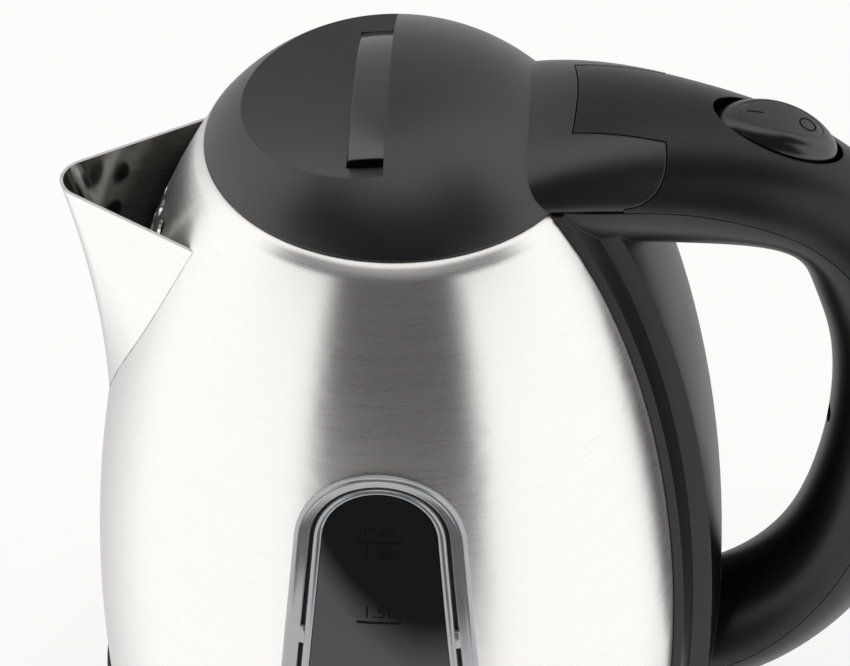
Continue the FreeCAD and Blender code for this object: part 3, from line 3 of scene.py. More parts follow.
import bpy
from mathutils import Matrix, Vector


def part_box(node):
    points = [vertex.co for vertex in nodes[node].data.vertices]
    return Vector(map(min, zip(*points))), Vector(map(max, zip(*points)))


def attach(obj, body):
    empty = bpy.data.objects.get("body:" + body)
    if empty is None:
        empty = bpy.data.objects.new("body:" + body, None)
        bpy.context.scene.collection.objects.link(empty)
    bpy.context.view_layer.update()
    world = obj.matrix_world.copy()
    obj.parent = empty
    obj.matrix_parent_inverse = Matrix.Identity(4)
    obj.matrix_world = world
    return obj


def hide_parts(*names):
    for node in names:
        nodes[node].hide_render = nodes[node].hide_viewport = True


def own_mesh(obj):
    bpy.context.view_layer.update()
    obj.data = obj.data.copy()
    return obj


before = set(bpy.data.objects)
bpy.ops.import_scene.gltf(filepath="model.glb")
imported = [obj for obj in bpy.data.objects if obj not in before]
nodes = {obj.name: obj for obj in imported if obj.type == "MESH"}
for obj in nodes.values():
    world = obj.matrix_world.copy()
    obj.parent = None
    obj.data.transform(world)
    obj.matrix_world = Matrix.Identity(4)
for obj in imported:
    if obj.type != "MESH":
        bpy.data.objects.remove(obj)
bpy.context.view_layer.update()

# Power base: a round moulding of black polypropylene that the kettle stands on.
# Its floor plate is screwed up from below, and the swivel connector sits in its middle.
# The mould's fine grain makes the black satin; the grain is drawn coarse enough to show.

MM = 0.001


def linear(hex_colour):
    """An sRGB hex colour as linear RGBA."""
    shares = [int(hex_colour[place:place + 2], 16) / 255 for place in (1, 3, 5)]
    return [s / 12.92 if s <= 0.04045 else ((s + 0.055) / 1.055) ** 2.4 for s in shares] + [1.0]


def add_node(tree, kind, inputs=None, **settings):
    """Add one node. Inputs are plain values, or outputs of other nodes to link."""
    made = tree.nodes.new(kind)
    for name, value in settings.items():
        setattr(made, name, value)
    for name, value in (inputs or {}).items():
        if isinstance(value, bpy.types.NodeSocket):
            tree.links.new(value, made.inputs[name])
        else:
            made.inputs[name].default_value = value
    return made


def new_finish(name):
    """An empty material and the place on the piece that its patterns read."""
    material = bpy.data.materials.new(name)
    material.use_nodes = True
    tree = material.node_tree
    tree.nodes.clear()
    return material, tree, add_node(tree, "ShaderNodeTexCoord").outputs["Object"]


def close_finish(tree, pattern, dark, light, rough, inputs):
    """End a material in one principled shader, whose colour and gloss follow a pattern."""
    colour = add_node(tree, "ShaderNodeMix", {0: pattern, 6: linear(dark), 7: linear(light)},
                      data_type="RGBA")
    gloss = add_node(tree, "ShaderNodeMapRange", {
        "Value": pattern, "To Min": rough[0], "To Max": rough[1]}, clamp=False)
    shader = add_node(tree, "ShaderNodeBsdfPrincipled", {
        "Base Color": colour.outputs[2], "Roughness": gloss.outputs["Result"], **inputs})
    add_node(tree, "ShaderNodeOutputMaterial", {"Surface": shader.outputs["BSDF"]})


def moulded_finish(name, dark, light, rough, grain_mm, grain_depth_mm, edge_mm, shine):
    """Moulded plastic or rubber: a fine grain, slow changes of gloss and softly rounded edges."""
    flow_mm, plastic_ior = 22, 1.49
    material, tree, place = new_finish(name)
    grain = add_node(tree, "ShaderNodeTexNoise", {
        "Vector": place, "Scale": 1 / (grain_mm * MM), "Detail": 3.0})
    flow = add_node(tree, "ShaderNodeTexNoise", {
        "Vector": place, "Scale": 1 / (flow_mm * MM), "Detail": 2.0})
    edge = add_node(tree, "ShaderNodeBevel", {"Radius": edge_mm * MM}, samples=4)
    bump = add_node(tree, "ShaderNodeBump", {
        "Height": grain.outputs["Fac"], "Strength": 0.5, "Distance": grain_depth_mm * MM,
        "Normal": edge.outputs["Normal"]})
    close_finish(tree, flow.outputs["Fac"], dark, light, rough, {
        "IOR": plastic_ior, "Specular IOR Level": shine, "Normal": bump.outputs["Normal"]})
    return material


def wear(finish, *names):
    """Give CAD nodes a finish."""
    for name in names:
        nodes[name].material_slots[0].material = finish


satin_black = moulded_finish("satin_black_polypropylene", "#08080a", "#0c0c0d", rough=(0.28, 0.36),
                             grain_mm=0.35, grain_depth_mm=0.008, edge_mm=0.5, shine=0.75)
wear(satin_black, "base_cover", "base_bottom_plate", "connector_stub")

# Rubber parts: the foot ring under the base, the cord gland in its wall, and the seals of the
# window, the lid and the steam tube. All are moulded silicone, pressed into their seats.
# The rubber is duller than the plastic and shows no highlight.

rubber = moulded_finish("black_silicone_rubber", "#121212", "#1a1a1a", rough=(0.62, 0.75),
                        grain_mm=0.5, grain_depth_mm=0.02, edge_mm=0.3, shine=0.4)
wear(rubber, "base_foot_ring", "cord_gland", "window_gasket", "lid_seal", "steam_tube")

# Screws, pins and element terminals: cold-formed steel with bright zinc plating.
# Fine rings from turning and a faint bluish tone give the plating away.


def turned_metal(name, dark, light, rough, pitch_mm):
    """A plain metal part with fine marks left by turning or rolling."""
    patch_mm, mark_depth_mm = 4, 0.01
    material, tree, place = new_finish(name)
    rings = add_node(tree, "ShaderNodeTexWave", {
        "Vector": place, "Scale": 1 / (pitch_mm * MM * 2 * math.pi), "Distortion": 1.5,
        "Detail": 2.0}, wave_type="RINGS", rings_direction="Z")
    patches = add_node(tree, "ShaderNodeTexNoise", {
        "Vector": place, "Scale": 1 / (patch_mm * MM), "Detail": 3.0})
    bump = add_node(tree, "ShaderNodeBump", {
        "Height": rings.outputs["Fac"], "Strength": 0.3, "Distance": mark_depth_mm * MM})
    close_finish(tree, patches.outputs["Fac"], dark, light, rough, {
        "Metallic": 1.0, "Normal": bump.outputs["Normal"]})
    return material


zinc_plate = turned_metal("zinc_plated_steel", "#a9adb1", "#c6c9cc", rough=(0.22, 0.36),
                          pitch_mm=0.4)
wear(zinc_plate, "base_screws", "bottom_screws", "handle_screws", "lid_screws", "hinge_pin",
     "rocker_pin", "element_terminals")

# Contacts and bimetal discs: drawn brass, pressed into the connector, the socket and the two
# switches. The drawn surface is smooth and yellow, with faint darker patches.

brass = turned_metal("drawn_brass", "#b28a44", "#d0aa62", rough=(0.25, 0.4), pitch_mm=0.5)
wear(brass, "connector_contacts", "socket_contacts", "bimetal_discs", "steam_bimetal")

# Heat spreader and heating element: a cast aluminium plate and a sheathed tube, brazed together
# under the heater plate. The cast metal is pale and dull.

cast_aluminium = turned_metal("cast_aluminium", "#a8a9aa", "#c3c4c5", rough=(0.45, 0.6),
                              pitch_mm=0.8)
wear(cast_aluminium, "heat_spreader", "heating_element")

# Vessel, spout and heater plate: stainless steel sheet, drawn to shape and brushed round its axis.
# The brush lines stretch each reflection along the height; they are drawn coarse enough to show.
# The vessel's top edge is rolled in, so it catches the light from above.


def brushed_steel(name, along_mm, across_mm, rough, stretch, roll, middle_mm, inside_shade_and_polish):
    """Brushed stainless steel: lines round the Z axis, a rolled-in rim and a smoother inside, which
    a low value also paints darker as shade.
    """
    mean_radius_mm, line_depth_mm, roll_start_mm, roll_end_mm = 75, 0.008, 200.8, 204.6
    line_strength, inside_strength = 0.25, 0.01
    material, tree, place = new_finish(name)

    # The lines are noise on the unrolled sheet, longer round the axis than across it.
    parts = add_node(tree, "ShaderNodeSeparateXYZ", {"Vector": place}).outputs
    angle = add_node(tree, "ShaderNodeMath", {0: parts["Y"], 1: parts["X"]},
                     operation="ARCTAN2").outputs[0]
    turn = add_node(tree, "ShaderNodeMath", {0: angle, 1: mean_radius_mm / along_mm},
                    operation="MULTIPLY").outputs[0]
    rise = add_node(tree, "ShaderNodeMath", {0: parts["Z"], 1: 1 / (across_mm * MM)},
                    operation="MULTIPLY").outputs[0]
    sheet = add_node(tree, "ShaderNodeCombineXYZ", {"X": turn, "Z": rise}).outputs["Vector"]
    lines = add_node(tree, "ShaderNodeTexNoise", {
        "Vector": sheet, "Scale": 1.0, "Detail": 4.0, "Roughness": 0.65})
    bands = add_node(tree, "ShaderNodeTexNoise", {"Vector": sheet, "Scale": 0.22, "Detail": 2.0})
    both = add_node(tree, "ShaderNodeMix", {
        "Factor": 0.3, "A": lines.outputs["Fac"], "B": bands.outputs["Fac"]})

    # Faces that look towards the middle are the inside, which is smoother; a low value there also
    # gives it the darkest tone, a painted shade.
    from_middle = add_node(tree, "ShaderNodeVectorMath", {0: place, 1: (-middle_mm * MM, 0, 0)},
                           operation="ADD").outputs[0]
    level = add_node(tree, "ShaderNodeVectorMath", {0: from_middle, 1: (1, 1, 0)},
                     operation="MULTIPLY").outputs[0]
    outward = add_node(tree, "ShaderNodeVectorMath", {0: level, 1: place.node.outputs["Normal"]},
                       operation="DOT_PRODUCT").outputs["Value"]
    inside = add_node(tree, "ShaderNodeMath", {0: outward, 1: 0.0},
                      operation="LESS_THAN").outputs[0]
    pattern = add_node(tree, "ShaderNodeMix", {
        "Factor": inside, "A": both.outputs["Result"], "B": inside_shade_and_polish})
    strength = add_node(tree, "ShaderNodeMath", {
        0: inside, 1: inside_strength - line_strength, 2: line_strength},
        operation="MULTIPLY_ADD").outputs[0]
    bump = add_node(tree, "ShaderNodeBump", {
        "Height": lines.outputs["Fac"], "Strength": strength, "Distance": line_depth_mm * MM})

    # Near the rim the sheet leans in, so its normal is lifted.
    near_rim = add_node(tree, "ShaderNodeMapRange", {
        "Value": parts["Z"], "From Min": roll_start_mm * MM, "From Max": roll_end_mm * MM,
        "To Max": roll}, interpolation_type="SMOOTHSTEP").outputs["Result"]
    lift = add_node(tree, "ShaderNodeCombineXYZ", {"Z": near_rim}).outputs["Vector"]
    lifted = add_node(tree, "ShaderNodeVectorMath", {0: bump.outputs["Normal"], 1: lift},
                      operation="ADD").outputs[0]
    normal = add_node(tree, "ShaderNodeVectorMath", {0: lifted}, operation="NORMALIZE").outputs[0]
    round_axis = add_node(tree, "ShaderNodeTangent", direction_type="RADIAL", axis="Z")
    close_finish(tree, pattern.outputs["Result"], "#d3d2cf", "#ebeae7", rough, {
        "Metallic": 1.0, "Anisotropic": stretch, "Anisotropic Rotation": 0.25,
        "Tangent": round_axis.outputs["Tangent"], "Normal": normal})
    return material


brushed = brushed_steel("brushed_stainless_steel", along_mm=16.0, across_mm=0.26,
                        rough=(0.22, 0.34), stretch=0.7, roll=0.6, middle_mm=0.0, inside_shade_and_polish=0.5)
# The spout's inside is smoother, and painted in the darkest tone as shade in its channel.
spout_steel = brushed_steel("brushed_spout_steel", along_mm=16.0, across_mm=0.26,
                            rough=(0.20, 0.32), stretch=0.4, roll=0.0, middle_mm=-52.0,
                            inside_shade_and_polish=-0.45)
pan_steel = brushed_steel("rolled_pan_steel", along_mm=30.0, across_mm=0.6,
                          rough=(0.3, 0.42), stretch=0.3, roll=0.0, middle_mm=0.0, inside_shade_and_polish=0.5)
wear(brushed, "steel_body")
wear(spout_steel, "spout")
wear(pan_steel, "heater_plate")

# Rolled rim: the sheet's top edge is rolled in under the lid, which leaves a bright line all round
# the mouth. It is a ring of the vessel's own brushed steel that follows the vessel's oval.


def body_radius(height, proud=0.0):
    """Radius of the vessel's outside at a height, raised off the steel, in mm."""
    widest, half, belly_z = 78.0, 178.0, 61.0
    share = (height - belly_z) / (half + proud)
    return (widest + proud) * math.sqrt(1 - share * share)


def drawn_up(vertices, profile):
    """A shell: a circle whose edge is extruded from ring to ring of a profile, in mm."""
    radius, height = profile[0]
    bpy.ops.object.select_all(action="DESELECT")
    bpy.ops.mesh.primitive_circle_add(vertices=vertices, radius=radius * MM,
                                      location=(0, 0, height * MM))
    bpy.ops.object.transform_apply(location=True, rotation=False, scale=False)
    bpy.ops.object.mode_set(mode="EDIT")
    bpy.ops.mesh.select_all(action="SELECT")
    for (old, low), (new, high) in zip(profile, profile[1:]):
        bpy.ops.mesh.extrude_edges_move(
            TRANSFORM_OT_translate={"value": (0, 0, (high - low) * MM)})
        bpy.ops.transform.resize(value=(new / old, new / old, 1),
                                 center_override=(0, 0, high * MM))
    return bpy.context.object


def select_only(piece):
    """Select one piece, make it active and select nothing else."""
    bpy.ops.object.select_all(action="DESELECT")
    piece.select_set(True)
    bpy.context.view_layer.objects.active = piece


def finish_piece(piece, body, finish):
    """Merge and smooth a new piece, give it its finish and fix it to its body."""
    piece.data.materials.clear()
    piece.data.materials.append(finish)
    select_only(piece)
    bpy.ops.object.mode_set(mode="EDIT")
    bpy.ops.mesh.select_all(action="SELECT")
    bpy.ops.mesh.remove_doubles(threshold=0.002 * MM)
    bpy.ops.mesh.normals_make_consistent(inside=False)
    bpy.ops.object.mode_set(mode="OBJECT")
    bpy.ops.object.shade_smooth_by_angle(angle=math.radians(40))
    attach(piece, body)


RIM_LOW, RIM_START, RIM_INSIDE, RIM_TURN, RIM_TOP = 201.6, 202.6, 203.2, 203.7, 205.85
RIM_PROUD, ROLL_RADIUS, ROLL_STEPS, FIRST_LEAN = 0.03, 2.15, 6, math.radians(26)
roll_profile = [(body_radius(RIM_LOW) + 0.01, RIM_LOW),
                (body_radius(RIM_START) + RIM_PROUD, RIM_START)]
for step in range(ROLL_STEPS + 1):
    lean = FIRST_LEAN + (math.pi / 2 - FIRST_LEAN) * step / ROLL_STEPS
    reach = ROLL_RADIUS * (math.cos(lean) - math.cos(FIRST_LEAN))
    climb = (math.sin(lean) - math.sin(FIRST_LEAN)) / (1 - math.sin(FIRST_LEAN))
    roll_profile.append((body_radius(RIM_TURN) + RIM_PROUD + reach,
                         RIM_TURN + (RIM_TOP - RIM_TURN) * climb))
rolled_edge = roll_profile[-1][0]
roll_profile += [(rolled_edge - 0.4, RIM_TOP - 0.15), (rolled_edge - 0.5, RIM_TOP - 0.7),
                 (body_radius(RIM_INSIDE) - 0.6, RIM_INSIDE),
                 (body_radius(RIM_LOW) - 0.5, RIM_LOW)]
rolled_rim = drawn_up(vertices=144, profile=roll_profile)
bpy.ops.mesh.select_all(action="DESELECT")
bpy.ops.mesh.select_non_manifold()
bpy.ops.mesh.bridge_edge_loops()
bpy.ops.object.mode_set(mode="OBJECT")
rolled_rim.name = "rolled_rim"
finish_piece(rolled_rim, "kettle", brushed)

# Kettle bottom: a satin black ring under the vessel, with the socket and the thermostat inside it.
# The mouth ring and the window's clamp are moulded of the same plastic and pressed in from inside.

wear(satin_black, "bottom_ring", "kettle_socket", "thermostat_block", "mouth_ring", "window_clamp")

# Window rim: a clear polycarbonate moulding, clipped through the steel from outside.
# It has a rounded outer bead, a flat, a groove and an inner lip round the pane.
# The clear plastic shows silvery: partly the bright steel behind it shining through, partly a
# painted reflection, as it is made half metallic with a grey colour.


def clear_finish(name, dark, light, rough, share, painted_silver, ripple_mm):
    """Clear or smoked moulded plastic with a very slight ripple in its gloss; a share of it can be
    made metallic, a painted silver reflection.
    """
    clear_ior, ripple_depth_mm = 1.58, 0.02
    material, tree, place = new_finish(name)
    ripple = add_node(tree, "ShaderNodeTexNoise", {
        "Vector": place, "Scale": 1 / (ripple_mm * MM), "Detail": 1.0})
    bump = add_node(tree, "ShaderNodeBump", {
        "Height": ripple.outputs["Fac"], "Strength": 0.2, "Distance": ripple_depth_mm * MM})
    close_finish(tree, ripple.outputs["Fac"], dark, light, rough, {
        "IOR": clear_ior, "Metallic": painted_silver, "Transmission Weight": share,
        "Normal": bump.outputs["Normal"]})
    return material


def wrapped(name, columns, rows, place):
    """A closed band: a grid whose columns go round a path and whose rows go round a profile."""
    bpy.ops.object.select_all(action="DESELECT")
    bpy.ops.mesh.primitive_grid_add(x_subdivisions=columns, y_subdivisions=rows, size=1.0)
    piece = bpy.context.object
    piece.name = name
    for index, vertex in enumerate(piece.data.vertices):
        vertex.co = place(index % (columns + 1) % columns, index // (columns + 1) % rows)
    return piece


# An arc is the height of its middle and its radius, in mm.
LOW_ARC, HIGH_ARC, PANE_RISE, RIM_WIDE = (88.0, 25.0), (137.6, 20.5), 2.2, 6.8
LOW_STEPS, HIGH_STEPS, SIDE_STEPS = 48, 40, 16
side_lean = math.asin((LOW_ARC[1] - HIGH_ARC[1]) / (HIGH_ARC[0] - LOW_ARC[0]))


def on_side(share, angle):
    """A place on a straight side of the window, from its upper arc, 0, to its lower arc, 1."""
    middle = HIGH_ARC[0] + (LOW_ARC[0] - HIGH_ARC[0]) * share
    radius = HIGH_ARC[1] + (LOW_ARC[1] - HIGH_ARC[1]) * share
    return (middle, radius, angle, PANE_RISE * (1 - share))


def on_vessel(spot, inset, proud):
    """A point moved in from a place of the window's outline and raised off the steel, in metres."""
    middle, arc, angle, rise = spot
    x = (arc - inset) * math.cos(angle)
    z = middle + rise * inset / RIM_WIDE + (arc - inset) * math.sin(angle)
    return Vector((x, -math.sqrt(body_radius(z, proud) ** 2 - x * x), z)) * MM


outline = [(*HIGH_ARC, side_lean + (math.pi - 2 * side_lean) * step / HIGH_STEPS, PANE_RISE)
           for step in range(HIGH_STEPS + 1)]
outline += [on_side(step / SIDE_STEPS, math.pi - side_lean) for step in range(1, SIDE_STEPS)]
outline += [(*LOW_ARC, math.pi - side_lean + (math.pi + 2 * side_lean) * step / LOW_STEPS, 0.0)
            for step in range(LOW_STEPS + 1)]
outline += [on_side(1 - step / SIDE_STEPS, 2 * math.pi + side_lean)
            for step in range(1, SIDE_STEPS)]
# Each pair is the way in from the outline and the height off the steel, in mm.
bead = [(0.0, 0.05), (0.0, 0.6), (0.12, 0.95), (0.35, 1.2), (0.7, 1.35), (1.1, 1.35), (1.5, 1.24)]
flat_and_groove = [(2.0, 1.12), (3.3, 1.04), (3.6, 0.98), (3.8, 0.75), (3.85, -0.3), (4.75, -0.3)]
lip = [(4.8, 0.72), (5.0, 0.98), (5.4, 1.12), (5.9, 1.14), (6.35, 1.0), (6.7, 0.7), (6.78, 0.4)]
collar = [(6.78, -2.4), (2.66, -2.4), (2.66, 0.05)]
rim_profile = bead + flat_and_groove + lip + collar
window_rim = wrapped("window_rim", len(outline), len(rim_profile),
                     lambda column, row: on_vessel(outline[column], *rim_profile[row]))
# The rim's grey tone and half metal are a painted silver reflection; its clear share lets the steel
# behind show through as well.
clear_rim_painted_silver = clear_finish("clear_polycarbonate_painted_silver", "#a2a3a5", "#b3b4b6", rough=(0.08, 0.13),
                         share=0.4, painted_silver=0.5, ripple_mm=6.0)
finish_piece(window_rim, "kettle", clear_rim_painted_silver)
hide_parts("window_frame")

# Groove shade: a thin black strip with the rubber's finish, laid in the groove of the window's rim
# as painted shade. It shows as a dark line between the bead and the lip.

groove_shade_profile = [(3.87, -0.25), (3.87, -0.02), (4.3, 0.08), (4.73, -0.02), (4.73, -0.25)]
groove_shade_strip = wrapped("groove_shade_strip", len(outline), len(groove_shade_profile),
                      lambda column, row: on_vessel(outline[column], *groove_shade_profile[row]))
finish_piece(groove_shade_strip, "kettle", rubber)

# Window clips: small blocks of the rim's clear plastic that bridge its groove and hold the pane.
# There are two on each side. Each is a cube with rounded edges, laid along the rim.


def join_up(name, parts):
    """Join parts into the first of them, under a name."""
    bpy.ops.object.select_all(action="DESELECT")
    for part in parts:
        part.select_set(True)
    bpy.context.view_layer.objects.active = parts[0]
    bpy.ops.object.join()
    parts[0].name = name
    return parts[0]


CLIP_SIZE, CLIP_EDGE, CLIP_INSET, CLIP_PROUD, SIDE_LONG = (5.0, 1.5, 1.3), 0.25, 4.3, 0.42, 50
clips = []
for share in (0.56, 0.96):
    for angle in (side_lean, math.pi - side_lean):
        bpy.ops.object.select_all(action="DESELECT")
        bpy.ops.mesh.primitive_cube_add(size=1.0)
        clip = bpy.context.object
        clip.scale = CLIP_SIZE
        bpy.ops.object.transform_apply(location=False, rotation=False, scale=True)
        bpy.ops.object.mode_set(mode="EDIT")
        bpy.ops.mesh.select_all(action="SELECT")
        bpy.ops.mesh.bevel(offset=CLIP_EDGE, segments=3, affect="EDGES")
        bpy.ops.object.mode_set(mode="OBJECT")
        for vertex in clip.data.vertices:
            along, across, rise = vertex.co
            spot = on_side(share + along / SIDE_LONG, angle)
            vertex.co = on_vessel(spot, CLIP_INSET + across, CLIP_PROUD + rise)
        clips.append(clip)
window_clips = join_up("window_clips", clips)
# The clips take the rim's finish, with its painted silver reflection.
finish_piece(window_clips, "kettle", clear_rim_painted_silver)

# Window pane: smoked polycarbonate, curved like the vessel and seated in the rim from inside.
# It is almost black and polished, so it mirrors the studio sharply.

smoked = clear_finish("smoked_polycarbonate", "#161617", "#1c1c1d", rough=(0.02, 0.04),
                      share=0.5, painted_silver=0.0, ripple_mm=9.0)
wear(smoked, "window_pane")

# Level marks: black ink printed on the pane, a line and a figure for each level.
# The letters are text turned to mesh and laid on the pane. The ink is matt and 0.03 mm thick.


def lay_on(piece, target, towards, thick):
    """Carry a flat piece along a direction until it lies on a target, and give it a thickness."""
    start_back, lift = 0.1, 1.2
    bpy.context.view_layer.update()
    for vertex in piece.data.vertices:
        spot = target.ray_cast(vertex.co - towards * start_back, towards)[1]
        vertex.co = spot - towards * (thick * lift)
    select_only(piece)
    layer = piece.modifiers.new("thickness", "SOLIDIFY")
    layer.thickness = thick
    layer.offset = 0.0
    bpy.ops.object.modifier_apply(modifier=layer.name)


FIGURES = (("max", 4.6, 142.5), ("1.8L", 4.8, 136.4), ("1.5L", 4.8, 119.8), ("1.0L", 4.8, 94.6),
           ("min", 4.6, 78.3))
LINE_HEIGHTS, LINE_LONG, LINE_WIDE, INK_THICK = (140.9, 118.4, 93.2, 77.0), 10.7, 0.7, 0.03
marks = []
for words, size, low in FIGURES:
    bpy.ops.object.select_all(action="DESELECT")
    bpy.ops.object.text_add()
    mark = bpy.context.object
    mark.data.body = words
    mark.data.size = size * MM
    mark.data.align_x = "CENTER"
    bpy.ops.object.convert(target="MESH")
    mark = bpy.context.object
    for vertex in mark.data.vertices:
        vertex.co = (vertex.co.x, 0, vertex.co.y + low * MM)
    marks.append(mark)
for middle in LINE_HEIGHTS:
    bpy.ops.object.select_all(action="DESELECT")
    bpy.ops.mesh.primitive_grid_add(x_subdivisions=14, y_subdivisions=1, size=1.0)
    mark = bpy.context.object
    for vertex in mark.data.vertices:
        along, across = vertex.co.x * LINE_LONG, vertex.co.y * LINE_WIDE
        vertex.co = (along * MM, 0, (middle + across) * MM)
    marks.append(mark)
level_marks = join_up("level_marks", marks)
lay_on(level_marks, nodes["window_pane"], Vector((0, 1, 0)), INK_THICK * MM)
ink = moulded_finish("black_printing_ink", "#040404", "#070707", rough=(0.55, 0.65),
                     grain_mm=0.2, grain_depth_mm=0.004, edge_mm=0.05, shine=0.1)
finish_piece(level_marks, "kettle", ink)

# Handle: two moulded shells of black polyamide round the switch housing and its lever.
# They are screwed together from the hand side. The black is a little duller than the lid's.

handle_black = moulded_finish("satin_black_polyamide", "#08080a", "#0c0c0d", rough=(0.30, 0.38),
                              grain_mm=0.35, grain_depth_mm=0.008, edge_mm=0.5, shine=0.4)
wear(handle_black, "handle_inner_shell", "handle_outer_shell", "steam_switch_housing",
     "trip_lever")

# Lid: a dome with a finger scoop, over an inner plate that carries the seal and the latch bolt.
# All three are moulded of the base's satin black plastic; the plate is screwed up into the dome.

wear(satin_black, "lid_cover", "lid_inner_plate", "latch_bolt")

# Lid release bar: a moulded bar of black ABS that slides in the slot of the finger scoop.
# It is polished in the mould, so it is glossier than the lid round it.

glossy_black = moulded_finish("glossy_black_abs", "#0b0b0c", "#121213", rough=(0.12, 0.18),
                              grain_mm=0.6, grain_depth_mm=0.003, edge_mm=0.6, shine=1.0)
wear(glossy_black, "lid_release_bar")

# Latch spring: a coil of zinc-plated wire between the release bar and a post under the dome.
# It stands for the CAD's plain sleeve, and rides on the lid.

WIRE, WIRE_SIDES, COIL_TURNS, COIL_STEPS, BAR_SLIDE = 0.35, 10, 8, 24, 4.0
coil_low, coil_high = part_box("latch_spring")
coil_length = coil_high.x - coil_low.x
bpy.ops.object.select_all(action="DESELECT")
bpy.ops.mesh.primitive_circle_add(vertices=WIRE_SIDES, radius=WIRE * MM)
latch_coil = bpy.context.object
latch_coil.name = "latch_coil"
bpy.ops.object.mode_set(mode="EDIT")
bpy.ops.mesh.select_all(action="SELECT")
bpy.ops.transform.translate(value=(0, coil_high.y - WIRE * MM, 0))
bpy.ops.object.mode_set(mode="OBJECT")
winding = latch_coil.modifiers.new("winding", "SCREW")
winding.axis = "X"
winding.iterations = COIL_TURNS
winding.screw_offset = (coil_length - 2 * WIRE * MM) / COIL_TURNS
winding.steps = winding.render_steps = COIL_STEPS
bpy.ops.object.modifier_apply(modifier=winding.name)
bpy.ops.object.mode_set(mode="EDIT")
bpy.ops.mesh.select_all(action="SELECT")
bpy.ops.mesh.fill_holes(sides=0)
bpy.ops.object.mode_set(mode="OBJECT")
latch_coil.location = (coil_low.x + WIRE * MM, 0, (coil_low.z + coil_high.z) / 2)
bpy.ops.object.transform_apply(location=True, rotation=False, scale=False)
finish_piece(latch_coil, "lid", zinc_plate)
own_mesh(latch_coil)
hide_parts("latch_spring")

# Rocker: a hollow oval cap of polished black polypropylene on the rocker's pin, tilted to off.
# It has rolled-over sides and a fine groove round its raised top, and stands for the plain rocker.
# The polish gives it a sharper highlight than the handle's.

polished_black = moulded_finish("polished_black_polypropylene", "#0a0a0b", "#0f0f10",
                                rough=(0.18, 0.25), grain_mm=0.6, grain_depth_mm=0.004,
                                edge_mm=0.6, shine=0.75)
ROCKER_AXIS, AXIS_DEPTH = Vector((88.921, 0, 209.259)), 5.0
rocker_lean = math.radians(14.936)


def on_rocker(x, y, z):
    """A point of the rocker's own frame, whose axis lies below its top, put in place, in metres."""
    rise = z + AXIS_DEPTH
    along = x * math.cos(rocker_lean) + rise * math.sin(rocker_lean)
    up = rise * math.cos(rocker_lean) - x * math.sin(rocker_lean)
    return (ROCKER_AXIS + Vector((along, y, up))) * MM


CAP_LONG, CAP_WIDE, CAP_WALL, CROWN_RADIUS, SKIRT_TOP = 16.0, 8.3, 1.4, 44, -5
# Each pair is a share of the cap's half length and a height in mm.
cap_side = [(1.0, -6.0), (1.0, -1.5), (0.985, -0.6), (0.95, 0.3), (0.9, 0.95), (0.82, 1.6)]
cap_groove = [(0.74, 2.05), (0.69, 2.22), (0.672, 2.24), (0.662, 2.1), (0.65, 2.1), (0.64, 2.24)]
cap_top = [(0.55, 2.33), (0.4, 2.4), (0.2, 2.44), (0.03, 2.45)]
cap_profile = [(CAP_LONG * scale, height) for scale, height in cap_side + cap_groove + cap_top]
rocker_cap = drawn_up(vertices=96, profile=cap_profile)
bpy.ops.mesh.edge_face_add()
bpy.ops.object.mode_set(mode="OBJECT")
rocker_cap.name = "rocker_cap"
for vertex in rocker_cap.data.vertices:
    x, y, z = vertex.co / MM
    crown = x * x / (2 * CROWN_RADIUS) if z > SKIRT_TOP else 0
    vertex.co = on_rocker(x, y * CAP_WIDE / CAP_LONG, z - crown)
bpy.ops.object.mode_set(mode="EDIT")
bpy.ops.mesh.select_all(action="SELECT")
bpy.ops.mesh.normals_make_consistent(inside=False)
bpy.ops.object.mode_set(mode="OBJECT")
cap_wall = rocker_cap.modifiers.new("wall", "SOLIDIFY")
cap_wall.thickness = CAP_WALL * MM
cap_wall.offset = -1.0
bpy.ops.object.modifier_apply(modifier=cap_wall.name)
finish_piece(rocker_cap, "rocker", polished_black)
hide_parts("switch_rocker")

# Rocker marks: a bar for on and a ring for off, thin dark lines printed on the rocker's top.
# They are flat strips of the level marks' ink, laid down on the cap.

MARK_PLACE, MARK_WIDE, BAR_LONG, RING_INSIDE, RING_STEPS, ABOVE_CAP = 6.5, 0.45, 4.0, 1.8, 40, 8.0
bpy.ops.object.select_all(action="DESELECT")
bpy.ops.mesh.primitive_grid_add(x_subdivisions=8, y_subdivisions=1, size=1.0)
on_bar = bpy.context.object
for vertex in on_bar.data.vertices:
    along, across = vertex.co.x * BAR_LONG, vertex.co.y * MARK_WIDE
    vertex.co = on_rocker(-MARK_PLACE + along, across, ABOVE_CAP)
bpy.ops.object.select_all(action="DESELECT")
bpy.ops.mesh.primitive_grid_add(x_subdivisions=RING_STEPS, y_subdivisions=1, size=1.0)
off_ring = bpy.context.object
for index, vertex in enumerate(off_ring.data.vertices):
    angle = 2 * math.pi * (index % (RING_STEPS + 1)) / RING_STEPS
    reach = RING_INSIDE + MARK_WIDE * (index // (RING_STEPS + 1))
    vertex.co = on_rocker(MARK_PLACE + reach * math.cos(angle), reach * math.sin(angle), ABOVE_CAP)
rocker_marks = join_up("rocker_marks", [on_bar, off_ring])
down_on_cap = -(on_rocker(0, 0, 1) - on_rocker(0, 0, 0)).normalized()
lay_on(rocker_marks, rocker_cap, down_on_cap, INK_THICK * MM)
finish_piece(rocker_marks, "rocker", ink)

# Floor: a large pale sheet of paper under the part, with a soft shadow on it.
# The camera sees it nearly white. Mirror images leave it out, so that the steel shows the studio.

